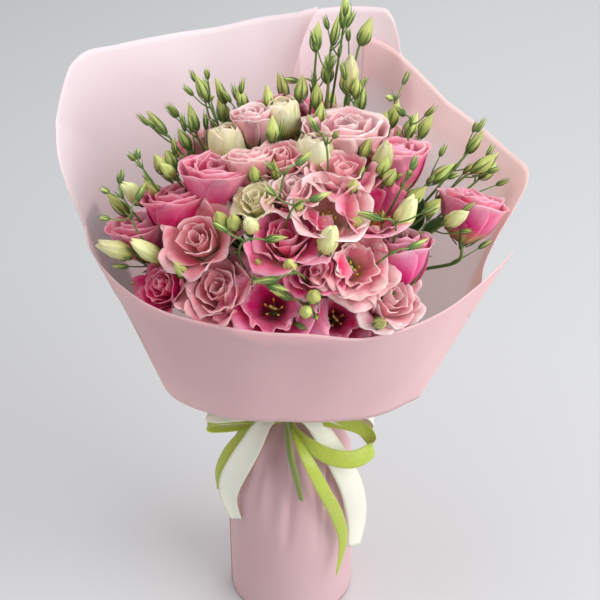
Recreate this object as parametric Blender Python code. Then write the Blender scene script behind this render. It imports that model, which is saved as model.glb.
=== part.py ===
"""A hand-tied bouquet of lisianthus in pink paper, standing on its paper skirt and its cut stems.

Metres, +Z up, front towards -Y. A heading is an angle about the vertical in degrees: 0 faces
the front, +90 the right. A tilt is measured from the vertical. The stems cross in a spiral at the
binding, so below it they spread again into the foot that the bouquet stands on.
"""

import math

import bpy
from mathutils import Matrix, Vector

# Driving dimensions
CENTRE_X, CENTRE_Y = 0.0079, 0.0100  # moves the box's bottom centre to the origin
TIE_X = -0.009  # the binding and the skirt stand a little left of the flower head
TIE_HEIGHT = 0.228
HEAD_HEIGHT = 0.350  # from here up the collar is centred on the flower head
STEM_RADIUS = 0.0019
BRANCH_RADIUS = 0.0015
STEM_SPACING = 0.0046
BUNDLE_RADIUS = 0.017  # where the stems start from before they are packed together
BUNDLE_TURN = 62.0  # how far the spiral has turned the bundle at the binding
SPIRAL = 15.5  # sideways travel of a stem per metre of drop, as a share of its place in the bundle
FOCUS = Vector((0, 0, 0.25))  # the flower head's places are measured from here
FAN = Vector((0, 0, 0.30))  # and the flowers' axes spread from here
FORK_REACH = 0.050  # from FAN: where a stem forks into its branches
VIA_REACH = 0.100  # and where a branch is already on its flower's axis
NECK = 0.0065  # from the end of a branch to the foot of its bloom
CLEARANCE = 0.0004
FLOWER_GAP = 0.006  # least angle between two flowers' cones, in radians
BLOOM_FILL = 0.73  # the solid bloom's radius as a share of its petals' reach
PAPER = 0.0005
LAP_GAP = 0.0012  # between the middles of two papers that are taped together
LAP = 0.0008
LAYER_SPREAD = 30.0  # how much further apart the gathered sheets lie for each metre above the binding
RIBBON = 0.0006
ROLLED_RADIUS = 0.0026
BAND_WIND = 0.0196  # the ribbons' turn round the gathered paper
TWINE_RING, TWINE_RADIUS = 0.0139, 0.0009
WELD = 0.00005
TUBE_SIDES = 5
BLOOM_SIDES = 10
ROUND_SIDES = 28  # of the rings that go round the binding

# Each bloom: spray, heading, tilt, reach from FOCUS, radius and depth in mm, colour
BLOOMS = {
    "bloom_top_pale": ("top", 53, 11, 288, 33, 46, "pale"),
    "bloom_upper_left_pink": ("upper_left", -45, 22, 280, 28, 44, "pink"),
    "bloom_left_deep": ("left", -54, 31, 272, 26, 42, "deep"),
    "bloom_small_pale": ("far_upper_left", -75, 9, 289, 18, 36, "pale"),
    "bloom_cream_left": ("far_upper_left", -67, 15, 286, 15, 38, "cream"),
    "bloom_cream_top": ("rear_top", -85, 3, 292, 14, 36, "cream"),
    "bloom_cream_middle": ("mid_top", 10, 13, 288, 16, 42, "cream"),
    "bloom_peach_small": ("upper_middle", -32, 18, 283, 18, 38, "peach"),
    "bloom_rear_top": ("rear_top", -144, 9, 282, 26, 42, "pink"),
    "bloom_rose_middle": ("rear_top", -11, 14, 280, 22, 38, "dusty"),
    "bloom_wide_top": ("mid_top", 24, 19, 280, 31, 36, "pink"),
    "bloom_right_rear": ("right_rear", 62, 21, 283, 27, 44, "pink"),
    "bloom_twin_left": ("right_middle", 14, 26, 274, 25, 38, "pale"),
    "bloom_twin_right": ("right_middle", 28, 27, 273, 25, 38, "pink"),
    "bloom_rosette_pale": ("upper_middle", -5, 22, 277, 21, 34, "pale"),
    "bloom_rosette_cream": ("upper_middle", -17, 24, 276, 18, 34, "cream"),
    "bloom_centre": ("centre", -4, 31, 266, 28, 38, "dusty"),
    "bloom_rosette_dusty": ("mid_left", -37, 34, 262, 30, 40, "dusty"),
    "bloom_left_pink": ("low_left", -65, 39, 258, 26, 40, "pink"),
    "bloom_low_left_deep": ("low_front_left", -47, 44, 238, 25, 36, "deep"),
    "bloom_low_dusty": ("low_front_left", -27, 40, 238, 30, 38, "dusty"),
    "bloom_front_deep": ("front", -10, 41, 226, 32, 36, "deep"),
    "bloom_low_centre": ("centre", 5, 36, 250, 20, 34, "pink"),
    "bloom_front_hot": ("front", 13, 42, 217, 28, 36, "hot"),
    "bloom_right_ruffled": ("low_right", 18, 36, 250, 25, 36, "peach"),
    "bloom_low_right_pale": ("low_right", 30, 42, 238, 27, 38, "pale"),
    "bloom_right_hot": ("low_right", 37, 37, 253, 26, 46, "hot"),
    "bloom_far_right": ("far_right", 77, 39, 268, 26, 44, "pink"),
    "bloom_back_left": ("back_left", -118, 27, 262, 27, 42, "dusty"),
    "bloom_back": ("back", 178, 20, 268, 27, 42, "pink"),
    "bloom_back_right": ("back_right", 125, 26, 265, 27, 42, "pale"),
}

# Each spray's buds: heading, tilt, reach of the tip from FOCUS, length and radius in mm
BUDS = {
    "top": (
        (143, 5, 302, 24, 5.0), (141, 7, 325, 26, 5.5), (112, 8, 328, 34, 8.0), (102, 9, 314, 20, 4.5),
        (117, 11, 362, 26, 6.0), (138, 8, 378, 30, 5.0), (120, 7, 362, 26, 3.5), (155, 6, 352, 26, 5.0),
    ),
    "far_upper_left": ((-102, 17, 322, 26, 4.5), (-106, 14, 314, 24, 4.0), (-112, 11, 302, 22, 5.0)),
    "upper_left": (
        (-94, 26, 309, 26, 4.0), (-90, 22, 286, 22, 4.5), (-103, 20, 298, 26, 4.5), (-80, 25, 280, 20, 5.0),
    ),
    "left": (
        (-66, 27, 298, 22, 5.5), (-59, 28, 294, 20, 5.5), (-68, 34, 290, 32, 7.5), (-63, 31, 284, 26, 6.0),
    ),
    "low_left": ((-60, 43, 284, 34, 7.5), (-76, 38, 282, 28, 5.0), (-50, 42, 270, 34, 7.5)),
    "mid_left": ((-29, 30, 284, 24, 6.0), (-23, 30, 283, 24, 6.0), (-16, 30, 280, 24, 6.5)),
    "upper_middle": ((0, 27, 292, 32, 3.5), (-11, 20, 296, 32, 3.5), (-22, 21, 290, 22, 5.0)),
    "rear_top": (
        (-26, 10, 300, 24, 5.5), (170, 5, 306, 24, 6.0), (75, 4, 292, 22, 5.0), (-110, 6, 304, 26, 5.0),
    ),
    "mid_top": ((18, 24, 292, 20, 4.5), (33, 20, 298, 22, 5.0), (40, 15, 296, 22, 5.0)),
    "right_rear": (
        (90, 15, 292, 20, 5.0), (98, 17, 300, 26, 5.5), (88, 20, 298, 24, 5.5), (50, 18, 300, 34, 8.5),
    ),
    "far_right": (
        (91, 32, 308, 24, 4.5), (88, 36, 300, 30, 6.0), (93, 38, 288, 20, 5.0), (66, 29, 294, 26, 5.0),
        (58, 36, 280, 28, 6.5),
    ),
    "right_middle": (
        (38, 25, 296, 22, 5.5), (37, 30, 290, 36, 8.5), (46, 29, 292, 24, 6.0), (50, 32, 286, 24, 6.0),
    ),
    "centre": ((8, 31, 284, 30, 8.5), (-4, 38, 268, 24, 6.0), (-12, 37, 266, 28, 3.5)),
    "front": ((2, 44, 252, 22, 5.5), (5, 40, 262, 24, 6.0)),
    "low_right": ((22, 31, 280, 24, 6.0), (22, 44, 254, 22, 5.0)),
    "back_left": ((-125, 18, 292, 26, 5.0), (-140, 25, 284, 26, 5.5)),
    "back": ((-165, 14, 300, 26, 5.0), (165, 26, 284, 26, 5.5)),
    "back_right": ((110, 26, 292, 26, 5.5), (140, 18, 296, 26, 5.0)),
    "low_front_left": ((-36, 38, 264, 24, 5.5),),
}

# The collar's plan radius in metres: one row for each height, one column for each heading
COLLAR_HEADINGS = (-180, -135, -90, -60, 60, 90, 135, 180)
COLLAR = (
    (0.218, (0.0153,) * 8),
    (0.236, (0.0155,) * 8),
    (0.270, (0.045, 0.052, 0.064, 0.068, 0.066, 0.056, 0.048, 0.045)),
    (0.330, (0.078, 0.098, 0.140, 0.155, 0.160, 0.108, 0.090, 0.078)),
    (0.390, (0.101, 0.131, 0.173, 0.184, 0.172, 0.156, 0.122, 0.101)),
    (0.440, (0.115, 0.152, 0.196, 0.197, 0.182, 0.187, 0.140, 0.115)),
    (0.500, (0.124, 0.162, 0.203, 0.205, 0.205, 0.215, 0.150, 0.124)),
    (0.600, (0.131, 0.164, 0.210, 0.212, 0.230, 0.238, 0.156, 0.131)),
)

# The front band is a cone: its plan radius at two heights for each heading
BAND_HEADINGS = (-100, -72, -50, 0, 50, 62, 76)
BAND_LOW, BAND_LOW_RADII = 0.270, (0.129, 0.134, 0.125, 0.107, 0.122, 0.124, 0.129)
BAND_HIGH, BAND_HIGH_RADII = 0.430, (0.190, 0.192, 0.187, 0.180, 0.186, 0.191, 0.199)

PLEAT = 0.0030  # the depth of the skirt's pleats, the height of their middle and how soon they fade
PLEAT_HEIGHT, PLEAT_FADE = 0.190, 0.012
HEM = 0.012  # the skirt's lowest stretch stands straight up, so that its edge lies flat on the ground

# Skirt: height and radius
SKIRT = (
    (0.0, 0.0630), (0.100, 0.0635), (0.150, 0.0610), (0.180, 0.0550), (0.200, 0.0440),
    (0.211, 0.0290), (0.2185, 0.0184), (0.234, 0.0181),
)


def unit(heading, tilt=90.0):
    """The direction at a heading and a tilt; level unless a tilt is given."""
    h, t = math.radians(heading), math.radians(tilt)
    return Vector((math.sin(t) * math.sin(h), -math.sin(t) * math.cos(h), math.cos(t)))


def curve_value(knots, values, x):
    """A smooth curve through the values that never swings past them, level beyond its two ends."""
    if x <= knots[0]:
        return values[0]
    if x >= knots[-1]:
        return values[-1]
    i = max(k for k in range(len(knots) - 1) if knots[k] <= x)
    slope = [(values[k + 1] - values[k]) / (knots[k + 1] - knots[k]) for k in range(len(knots) - 1)]

    def tangent(k):
        if k in (0, len(knots) - 1):
            return slope[min(k, len(slope) - 1)]
        before, after = slope[k - 1], slope[k]
        return 0.0 if before * after <= 0 else 2 * before * after / (before + after)

    step = knots[i + 1] - knots[i]
    u = (x - knots[i]) / step
    rise = u * u * (3 - 2 * u)
    return (
        values[i] * (1 - rise) + values[i + 1] * rise
        + step * (u * (1 - u) ** 2 * tangent(i) - u * u * (1 - u) * tangent(i + 1))
    )


def through(points, steps):
    """A smooth path through the points, with this many steps between each two."""
    points = [Vector(p) for p in points]
    ends = [2 * points[0] - points[1]] + points + [2 * points[-1] - points[-2]]
    path = []
    for a, b, c, d in zip(ends, ends[1:], ends[2:], ends[3:]):
        for k in range(steps):
            u = k / steps
            bend = (2 * a - 5 * b + 4 * c - d) * u ** 2 + (3 * b - a - 3 * c + d) * u ** 3
            path.append(b + 0.5 * ((c - a) * u + bend))
    return path + [points[-1]]


def settle():
    """Where each bloom and bud points from FAN, moved just far enough that their cones stay apart."""
    items = {}
    for name, (_, heading, tilt, reach, radius, depth, _) in BLOOMS.items():
        place = FOCUS + unit(heading, tilt) * reach / 1000 - FAN
        cone = math.atan2(BLOOM_FILL * radius / 1000, place.length)
        items[name] = [place.normalized(), place.length, cone, 1.0]
    for spray, buds in BUDS.items():
        for k, (heading, tilt, reach, length, radius) in enumerate(buds):
            place = FOCUS + unit(heading, tilt) * reach / 1000 - FAN
            cone = math.atan2(radius / 1000, place.length - length / 2000)
            items[f"{spray}_{k}"] = [place.normalized(), place.length, cone, 0.0]
    rows = list(items.values())
    for _ in range(250):
        for i, a in enumerate(rows):
            for b in rows[i + 1:]:
                apart = a[0].angle(b[0])
                short = a[2] + b[2] + FLOWER_GAP - apart
                if short <= 0:
                    continue
                away = (a[0] - b[0]).normalized()
                share = 0.5 if a[3] == b[3] else float(b[3] > a[3])
                a[0] = (a[0] + away * short * share).normalized()
                b[0] = (b[0] - away * short * (1 - share)).normalized()
    return {name: (row[0], row[1]) for name, row in items.items()}


def members(spray):
    """The names of the blooms and buds on one stem."""
    blooms = [name for name, row in BLOOMS.items() if row[0] == spray]
    return blooms + [f"{spray}_{k}" for k in range(len(BUDS[spray]))]


def lattice(settled):
    """Each spray's fork direction, and its stem's place in the bundle at the binding."""
    forks = {}
    for spray in BUDS:
        forks[spray] = sum((settled[name][0] for name in members(spray)), Vector()).normalized()
    turned = Matrix.Rotation(math.radians(BUNDLE_TURN), 2)
    spots = {spray: turned @ fork.xy * BUNDLE_RADIUS for spray, fork in forks.items()}
    rows = list(spots)
    for turn_number in range(600):
        for i, a in enumerate(rows):
            for b in rows[i + 1:]:
                gap = spots[a] - spots[b]
                short = STEM_SPACING - gap.length
                if short > 0:
                    push = (gap.normalized() if gap.length > 1e-6 else Vector((1, 0))) * short * 0.5
                    spots[a] += push
                    spots[b] -= push
        for name in rows:
            spots[name] *= 0.99 if turn_number < 300 else 1.0
    return forks, spots


def along_spiral(spot, height):
    """Where the stem that passes the binding at this spot is at a height below or just above it."""
    drop = SPIRAL * (TIE_HEIGHT - height)
    return Vector((TIE_X + spot.x - drop * spot.y, spot.y + drop * spot.x, height))


# Building blocks


def material(name, colour, roughness):
    """A plain matt surface."""
    made = bpy.data.materials.new(name)
    made.use_nodes = True
    shader = made.node_tree.nodes["Principled BSDF"]
    shader.inputs["Base Color"].default_value = (*colour, 1.0)
    shader.inputs["Roughness"].default_value = roughness
    shader.inputs["Metallic"].default_value = 0.0
    made.diffuse_color = (*colour, 1.0)
    return made


def solid(name, points, faces, finish, helper=False):
    """An object from points and faces. A helper only serves a Boolean."""
    mesh = bpy.data.meshes.new(name)
    mesh.from_pydata([tuple(p) for p in points], [], faces)
    mesh.shade_smooth()
    mesh.materials.append(finish)
    made = bpy.data.objects.new(name, mesh)
    bpy.context.scene.collection.objects.link(made)
    made.parent = bpy.data.objects["bouquet"]
    if helper:
        made.hide_render = True
        made.display_type = "WIRE"
    return made


def rings_closed(name, rings, finish, helper=False):
    """A closed solid skinned over rings of points, the same number in each, its two ends capped."""
    sides = len(rings[0])
    faces = [tuple(range(sides))[::-1]]
    for k in range(len(rings) - 1):
        for j in range(sides):
            n = (j + 1) % sides
            faces.append((k * sides + j, k * sides + n, (k + 1) * sides + n, (k + 1) * sides + j))
    last = (len(rings) - 1) * sides
    faces.append(tuple(range(last, last + sides)))
    return solid(name, [p for ring in rings for p in ring], faces, finish, helper)


def frames(path):
    """A tangent and two crosswise directions at each point, carried along without twisting."""
    rows = []
    across = None
    for k, point in enumerate(path):
        ahead = (path[min(k + 1, len(path) - 1)] - path[max(k - 1, 0)]).normalized()
        if across is None:
            across = ahead.cross(Vector((0.31, -0.83, 0.12))).normalized()
        across = (across - ahead * across.dot(ahead)).normalized()
        rows.append((point, ahead, across, ahead.cross(across)))
    return rows


def tube(name, path, radii, finish, helper=False):
    """A round stem along the path. One that starts on the ground is cut level there."""
    rings = []
    for (point, _, across, up), radius in zip(frames(path), radii):
        angles = [2 * math.pi * j / TUBE_SIDES for j in range(TUBE_SIDES)]
        rings.append([point + (across * math.cos(a) + up * math.sin(a)) * radius for a in angles])
    if path[0].z == 0:
        for corner in rings[0]:
            corner.z = 0
    return rings_closed(name, rings, finish, helper)


def joined(main, helpers):
    """One body from overlapping closed shapes; the helpers stay hidden beside it."""
    group = bpy.data.collections.new(main.name + "_joined")
    for helper in helpers:
        group.objects.link(helper)
    union = main.modifiers.new("joined", "BOOLEAN")
    union.operation = "UNION"
    union.operand_type = "COLLECTION"
    union.collection = group
    union.solver = "MANIFOLD"  # EXACT leaves open slivers where many branches meet in one fork
    return main


# Flowers and stems


def bloom(name, axis, reach, radius, depth, finish):
    """A five-lobed cup filled to its mouth with petals, turned about its axis."""
    profile = ((0.12, 0.0), (0.64, 0.35), (1.0, 0.85), (0.82, 1.0))
    top = FAN + axis * reach
    side = axis.cross(Vector((0.2, 1, 0.1))).normalized()
    other = axis.cross(side)
    rings = []
    for share, height in profile:
        ring = []
        for j in range(BLOOM_SIDES):
            a = 2 * math.pi * j / BLOOM_SIDES
            lobe = BLOOM_FILL * radius * share * (1 + 0.05 * math.cos(5 * a))
            ring.append(top - axis * depth * (1 - height) + (side * math.cos(a) + other * math.sin(a)) * lobe)
        rings.append(ring)
    return rings_closed(name, rings, finish)


def branch(fork, base, axis_point, tip_rows, name, finish, helper, lead):
    """A thin stem from the fork to the base, then the rows (distance, radius) along its axis."""
    via = FAN + axis_point * VIA_REACH
    path = [*through([*lead, fork], 2 if len(lead) > 1 else 1), via, base]
    thick = len(path) - 2
    radii = [STEM_RADIUS] * thick + [BRANCH_RADIUS] * (len(path) - thick)
    for distance, radius in tip_rows:
        path.append(base + axis_point * distance)
        radii.append(radius)
    return tube(name, path, radii, finish, helper)


def spray(name, fork_way, spot, settled, finish):
    """One stem from its cut end up to its fork, with a branch to each of its blooms and buds."""
    fork = FAN + fork_way * FORK_REACH
    lead = [along_spiral(spot, z) for z in (0.0, 0.115, 0.205, 0.245)]
    made = []
    for k, item in enumerate(members(name)):
        way, reach = settled[item]
        start = lead if k == 0 else (fork - fork_way * (0.0008 + 0.0004 * k),)
        if item in BLOOMS:
            depth = BLOOMS[item][5] / 1000
            base = FAN + way * (reach - depth - NECK)
            tip = ((0.004, 0.0032), (NECK - CLEARANCE, 0.0030))
        else:
            length, radius = (v / 1000 for v in BUDS[name][int(item.rsplit("_", 1)[1])][3:])
            base = FAN + way * (reach - length)
            shape = ((0.25, 0.85), (0.60, 0.90), (1.0, 0.12))
            tip = [(length * share, radius * width) for share, width in shape]
        shape_name = name + "_stem" if k == 0 else f"{item}_branch"
        made.append(branch(fork, base, way, tip, shape_name, finish, k > 0, start))
    return joined(made[0], made[1:])


# Paper


def centre_x(height):
    """The middle of the papers, which drifts from the binding to the flower head."""
    share = min(max((height - TIE_HEIGHT) / (HEAD_HEIGHT - TIE_HEIGHT), 0.0), 1.0)
    return TIE_X * (1 - share)


def band_radius(heading, height):
    """The front band's distance from the vertical."""
    low = curve_value(BAND_HEADINGS, BAND_LOW_RADII, heading)
    high = curve_value(BAND_HEADINGS, BAND_HIGH_RADII, heading)
    return low + (high - low) * (height - BAND_LOW) / (BAND_HIGH - BAND_LOW)


def band_point(heading, height):
    """A point on the middle of the front band."""
    return unit(heading) * band_radius(heading, height) + Vector((0, 0, height))


def collar_radius(heading, height):
    """The gathered sheets' distance from their middle."""
    heading = (heading + 180) % 360 - 180
    heights = [row[0] for row in COLLAR]
    columns = zip(*(row[1] for row in COLLAR))
    return curve_value(COLLAR_HEADINGS, [curve_value(heights, column, height) for column in columns], heading)


def collar_point(heading, height, layer):
    """A point of a gathered sheet, which lies inside the band wherever the band would cut it."""
    wave = 0.0008 * max(0.0, 1 - abs(height - 0.258) / 0.022)
    loose = 1 + LAYER_SPREAD * max(0.0, height - 0.24)
    radius = collar_radius(heading, height) + layer * loose + wave * math.cos(math.radians(14 * heading))
    turned = (heading + 180) % 360 - 180
    inside = band_point(min(max(turned, BAND_HEADINGS[0]), BAND_HEADINGS[-1]), height).xy.length - LAP_GAP
    return unit(heading) * min(radius, inside - abs(centre_x(height))) + Vector((centre_x(height), 0, height))


def thickened(name, grid, finish):
    """A thin closed sheet from a grid of its middle's points."""
    rows, columns = len(grid), len(grid[0])
    faces = []
    for i in range(rows - 1):
        for j in range(columns - 1):
            a = i * columns + j
            faces.append((a, a + columns, a + columns + 1, a + 1))
    made = solid(name, [p for row in grid for p in row], faces, finish)
    shell = made.modifiers.new("thickness", "SOLIDIFY")
    shell.thickness = PAPER
    shell.offset = 0.0
    shell.use_even_offset = True
    return made


def rim_curve(rim, share):
    """(heading, height) at a share of the way along a sheet's free edge."""
    steps = [math.hypot((b[0] - a[0]) * 0.0035, b[1] - a[1]) for a, b in zip(rim, rim[1:])]
    marks = [sum(steps[:k]) / sum(steps) for k in range(len(rim))]
    return tuple(curve_value(marks, [p[k] for p in rim], share) for k in (0, 1))


def gathered_sheet(name, rim, foot, layer, columns, finish):
    """A sheet from the binding up to its free edge, rim, gathered between two headings, foot."""
    levels = (0.2205, 0.2290, 0.2365, 0.2450, 0.2580, 0.2750, 0.3000, 0.3250, 0.3500)
    grid = []
    for i in range(columns + 1):
        share = i / columns
        foot_heading = foot[0] + (foot[1] - foot[0]) * share
        top_heading, top = rim_curve(rim, share)
        column = []
        for height in (*levels, *(levels[-1] + (top - levels[-1]) * k / 4 for k in (1, 2, 3, 4))):
            height_share = (height - levels[0]) / (top - levels[0])
            heading = foot_heading + (top_heading - foot_heading) * (1 - (1 - height_share) ** 2)
            column.append(collar_point(heading, height, layer))
        grid.append(column)
    return thickened(name, grid, finish)


def front_band(name, finish):
    """The loose wide band across the front, open below, with one free corner out to the right."""
    rim = ((-97, 0.433), (-84, 0.435), (-72, 0.432), (-53, 0.413), (-30, 0.409), (0, 0.407),
           (20, 0.397), (35, 0.400), (53, 0.409), (75, 0.421))
    hem = ((-97, 0.290), (-72, 0.271), (-50, 0.2725), (-4, 0.280), (30, 0.2755), (50, 0.2755), (61, 0.271))
    columns = 28
    grid = []
    for i in range(columns + 1):
        low, high = rim_curve(hem, i / columns), rim_curve(rim, i / columns)
        column = []
        for k in range(4):
            share = k / 3
            heading = low[0] + (high[0] - low[0]) * share
            column.append(band_point(heading, low[1] + (high[1] - low[1]) * share))
        grid.append(column)
    return thickened(name, grid, finish)


def skirt(name, finish):
    """The paper tube below the binding: pleated at the top, lapped over itself at the left front."""
    start, turn, columns = -52.0, 385.0, 38
    heights = [row[0] for row in SKIRT]
    radii = [row[1] for row in SKIRT]
    levels = (0.234, 0.2185, 0.210, 0.199, 0.186, 0.165, HEM, 0.0)
    grid = []
    for i in range(columns + 1):
        share = i / columns
        heading = start + turn * share
        lap = LAP * max(0.0, (share - 0.5) * 2)
        column = []
        for height in levels:
            fade = math.exp(-((height - PLEAT_HEIGHT) / PLEAT_FADE) ** 2)
            pleat = PLEAT * fade * math.cos(math.radians(9 * heading))
            radius = curve_value(heights, radii, max(height, HEM)) + lap + pleat
            column.append(unit(heading) * radius + Vector((TIE_X, 0, height)))
        grid.append(column)
    return thickened(name, grid, finish)


# Ribbons and binding


def strip(name, points, widths, finish, width_way):
    """A ribbon along the points, as near as it can be to lying along width_way from edge to edge."""
    path = through(points, 2)
    rings = []
    for k, point in enumerate(path):
        ahead = (path[min(k + 1, len(path) - 1)] - path[max(k - 1, 0)]).normalized()
        across = Vector(width_way)
        across = (across - ahead * across.dot(ahead)).normalized()
        normal = ahead.cross(across) * RIBBON / 2
        span = len(widths) - 1
        place = k / (len(path) - 1) * span
        low = min(int(place), span - 1)
        half = (widths[low] + (widths[low + 1] - widths[low]) * (place - low)) / 2
        rings.append([point - across * half - normal, point + across * half - normal,
                      point + across * half + normal, point - across * half + normal])
    return rings_closed(name, rings, finish, helper=True)


def ring_band(name, low, high, radius, finish):
    """A ribbon wound once round the gathered paper, closed on itself."""
    rings = []
    for k in range(ROUND_SIDES):
        way = unit(360 * k / ROUND_SIDES)
        inner, outer = way * radius, way * (radius + RIBBON)
        rings.append([inner + Vector((TIE_X, 0, low)), outer + Vector((TIE_X, 0, low)),
                      outer + Vector((TIE_X, 0, high)), inner + Vector((TIE_X, 0, high))])
    faces = []
    for k in range(ROUND_SIDES):
        n = (k + 1) % ROUND_SIDES
        for j in range(4):
            m = (j + 1) % 4
            faces.append((k * 4 + j, n * 4 + j, n * 4 + m, k * 4 + m))
    return solid(name, [p for ring in rings for p in ring], faces, finish)


def knot(name, centre, size, finish):
    """A small pinched lump."""
    rings = []
    for height, share in ((-1.0, 0.35), (-0.55, 0.9), (0.0, 0.8), (0.55, 0.9), (1.0, 0.35)):
        ring = []
        for j in range(8):
            a = 2 * math.pi * j / 8
            ring.append(Vector(centre) + Vector((size[0] * height, size[1] * share * math.cos(a),
                                                 size[2] * share * math.sin(a))))
        rings.append(ring)
    return rings_closed(name, rings, finish, helper=True)


def stem_binding(name, finish):
    """The turn of twine that holds the stems, inside the paper."""
    rings = []
    for k in range(ROUND_SIDES):
        out = unit(360 * k / ROUND_SIDES)
        point = out * TWINE_RING + Vector((TIE_X, 0, TIE_HEIGHT))
        rings.append([point + (out * math.cos(a) + Vector((0, 0, math.sin(a)))) * TWINE_RADIUS
                      for a in (0.4, 1.65, 2.9, 4.2, 5.4)])
    faces = []
    for k in range(ROUND_SIDES):
        n = (k + 1) % ROUND_SIDES
        for j in range(5):
            m = (j + 1) % 5
            faces.append((k * 5 + j, n * 5 + j, n * 5 + m, k * 5 + m))
    return solid(name, [p for ring in rings for p in ring], faces, finish)


def cream_ribbon(finish):
    """Band, knot, two loops and two tails of the wide ribbon."""
    band = ring_band("cream_ribbon", 0.2285, 0.2345, BAND_WIND, finish)
    pieces = [
        knot("cream_knot", (-0.013, -0.0242, 0.2315), (0.008, 0.0065, 0.0045), finish),
        strip("cream_loop_left", [(-0.014, -0.029, 0.233), (-0.045, -0.040, 0.243), (-0.080, -0.040, 0.244),
                                  (-0.090, -0.038, 0.238), (-0.080, -0.036, 0.232), (-0.045, -0.034, 0.233),
                                  (-0.014, -0.027, 0.231)],
              (0.008, 0.016, 0.018, 0.016, 0.008), finish, width_way=(0, 1, 0.2)),
        strip("cream_loop_right", [(-0.010, -0.029, 0.233), (0.025, -0.040, 0.243), (0.060, -0.034, 0.240),
                                   (0.070, -0.031, 0.228), (0.060, -0.029, 0.219), (0.030, -0.030, 0.229),
                                   (-0.010, -0.027, 0.231)],
              (0.008, 0.018, 0.020, 0.018, 0.008), finish, width_way=(0, 1, 0.5)),
        strip("cream_tail_left", [(-0.016, -0.028, 0.232), (-0.039, -0.046, 0.232), (-0.056, -0.051, 0.209),
                                  (-0.072, -0.044, 0.173), (-0.078, -0.038, 0.150), (-0.075, -0.040, 0.134),
                                  (-0.072, -0.043, 0.115)],
              (0.008, 0.022, 0.025, 0.020, 0.014), finish, width_way=(1, -0.5, 0)),
        strip("cream_tail_right", [(-0.008, -0.028, 0.231), (0.014, -0.037, 0.224), (0.032, -0.045, 0.197),
                                   (0.050, -0.044, 0.155), (0.057, -0.039, 0.112), (0.055, -0.043, 0.078)],
              (0.008, 0.020, 0.024, 0.024, 0.014), finish, width_way=(1, 0.5, 0)),
    ]
    made = joined(band, pieces)
    weld = made.modifiers.new("weld", "WELD")
    weld.merge_threshold = WELD
    return made


def lime_ribbon(finish):
    """Band, knot, two loops, two tails and the rolled third end of the narrow ribbon."""
    band = ring_band("lime_ribbon", 0.2215, 0.2272, BAND_WIND, finish)
    pieces = [
        knot("lime_knot", (-0.013, -0.0242, 0.2243), (0.007, 0.0060, 0.0032), finish),
        strip("lime_loop_left", [(-0.014, -0.029, 0.224), (-0.048, -0.034, 0.227), (-0.082, -0.036, 0.227),
                                 (-0.090, -0.036, 0.222), (-0.082, -0.035, 0.217), (-0.048, -0.033, 0.219),
                                 (-0.014, -0.027, 0.223)],
              (0.006, 0.010, 0.011, 0.010, 0.006), finish, width_way=(0, 1, 0.2)),
        strip("lime_loop_right", [(-0.011, -0.029, 0.222), (0.010, -0.060, 0.213), (0.042, -0.064, 0.202),
                                  (0.064, -0.056, 0.205), (0.067, -0.052, 0.216), (0.040, -0.050, 0.216),
                                  (-0.010, -0.029, 0.225)],
              (0.006, 0.012, 0.014, 0.012, 0.006), finish, width_way=(0, 1, 0.3)),
        strip("lime_tail_left", [(-0.017, -0.029, 0.223), (-0.048, -0.038, 0.220), (-0.070, -0.037, 0.198),
                                 (-0.085, -0.034, 0.165), (-0.087, -0.032, 0.142)],
              (0.006, 0.011, 0.011, 0.009), finish, width_way=(1, -0.5, 0)),
        strip("lime_tail_right", [(-0.009, -0.029, 0.222), (-0.001, -0.056, 0.217), (0.010, -0.071, 0.200),
                                  (0.024, -0.072, 0.168), (0.037, -0.062, 0.130), (0.043, -0.057, 0.095),
                                  (0.037, -0.062, 0.056)],
              (0.006, 0.011, 0.013, 0.012, 0.002), finish, width_way=(1, 0.5, 0)),
        tube("lime_rolled_end", through([(-0.013, -0.029, 0.222), (-0.012, -0.050, 0.221),
                                         (-0.009, -0.066, 0.207), (-0.004, -0.070, 0.185),
                                         (0.001, -0.070, 0.159)], 2),
             [ROLLED_RADIUS] * 9, finish, helper=True),
    ]
    made = joined(band, pieces)
    weld = made.modifiers.new("weld", "WELD")
    weld.merge_threshold = WELD
    return made


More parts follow.
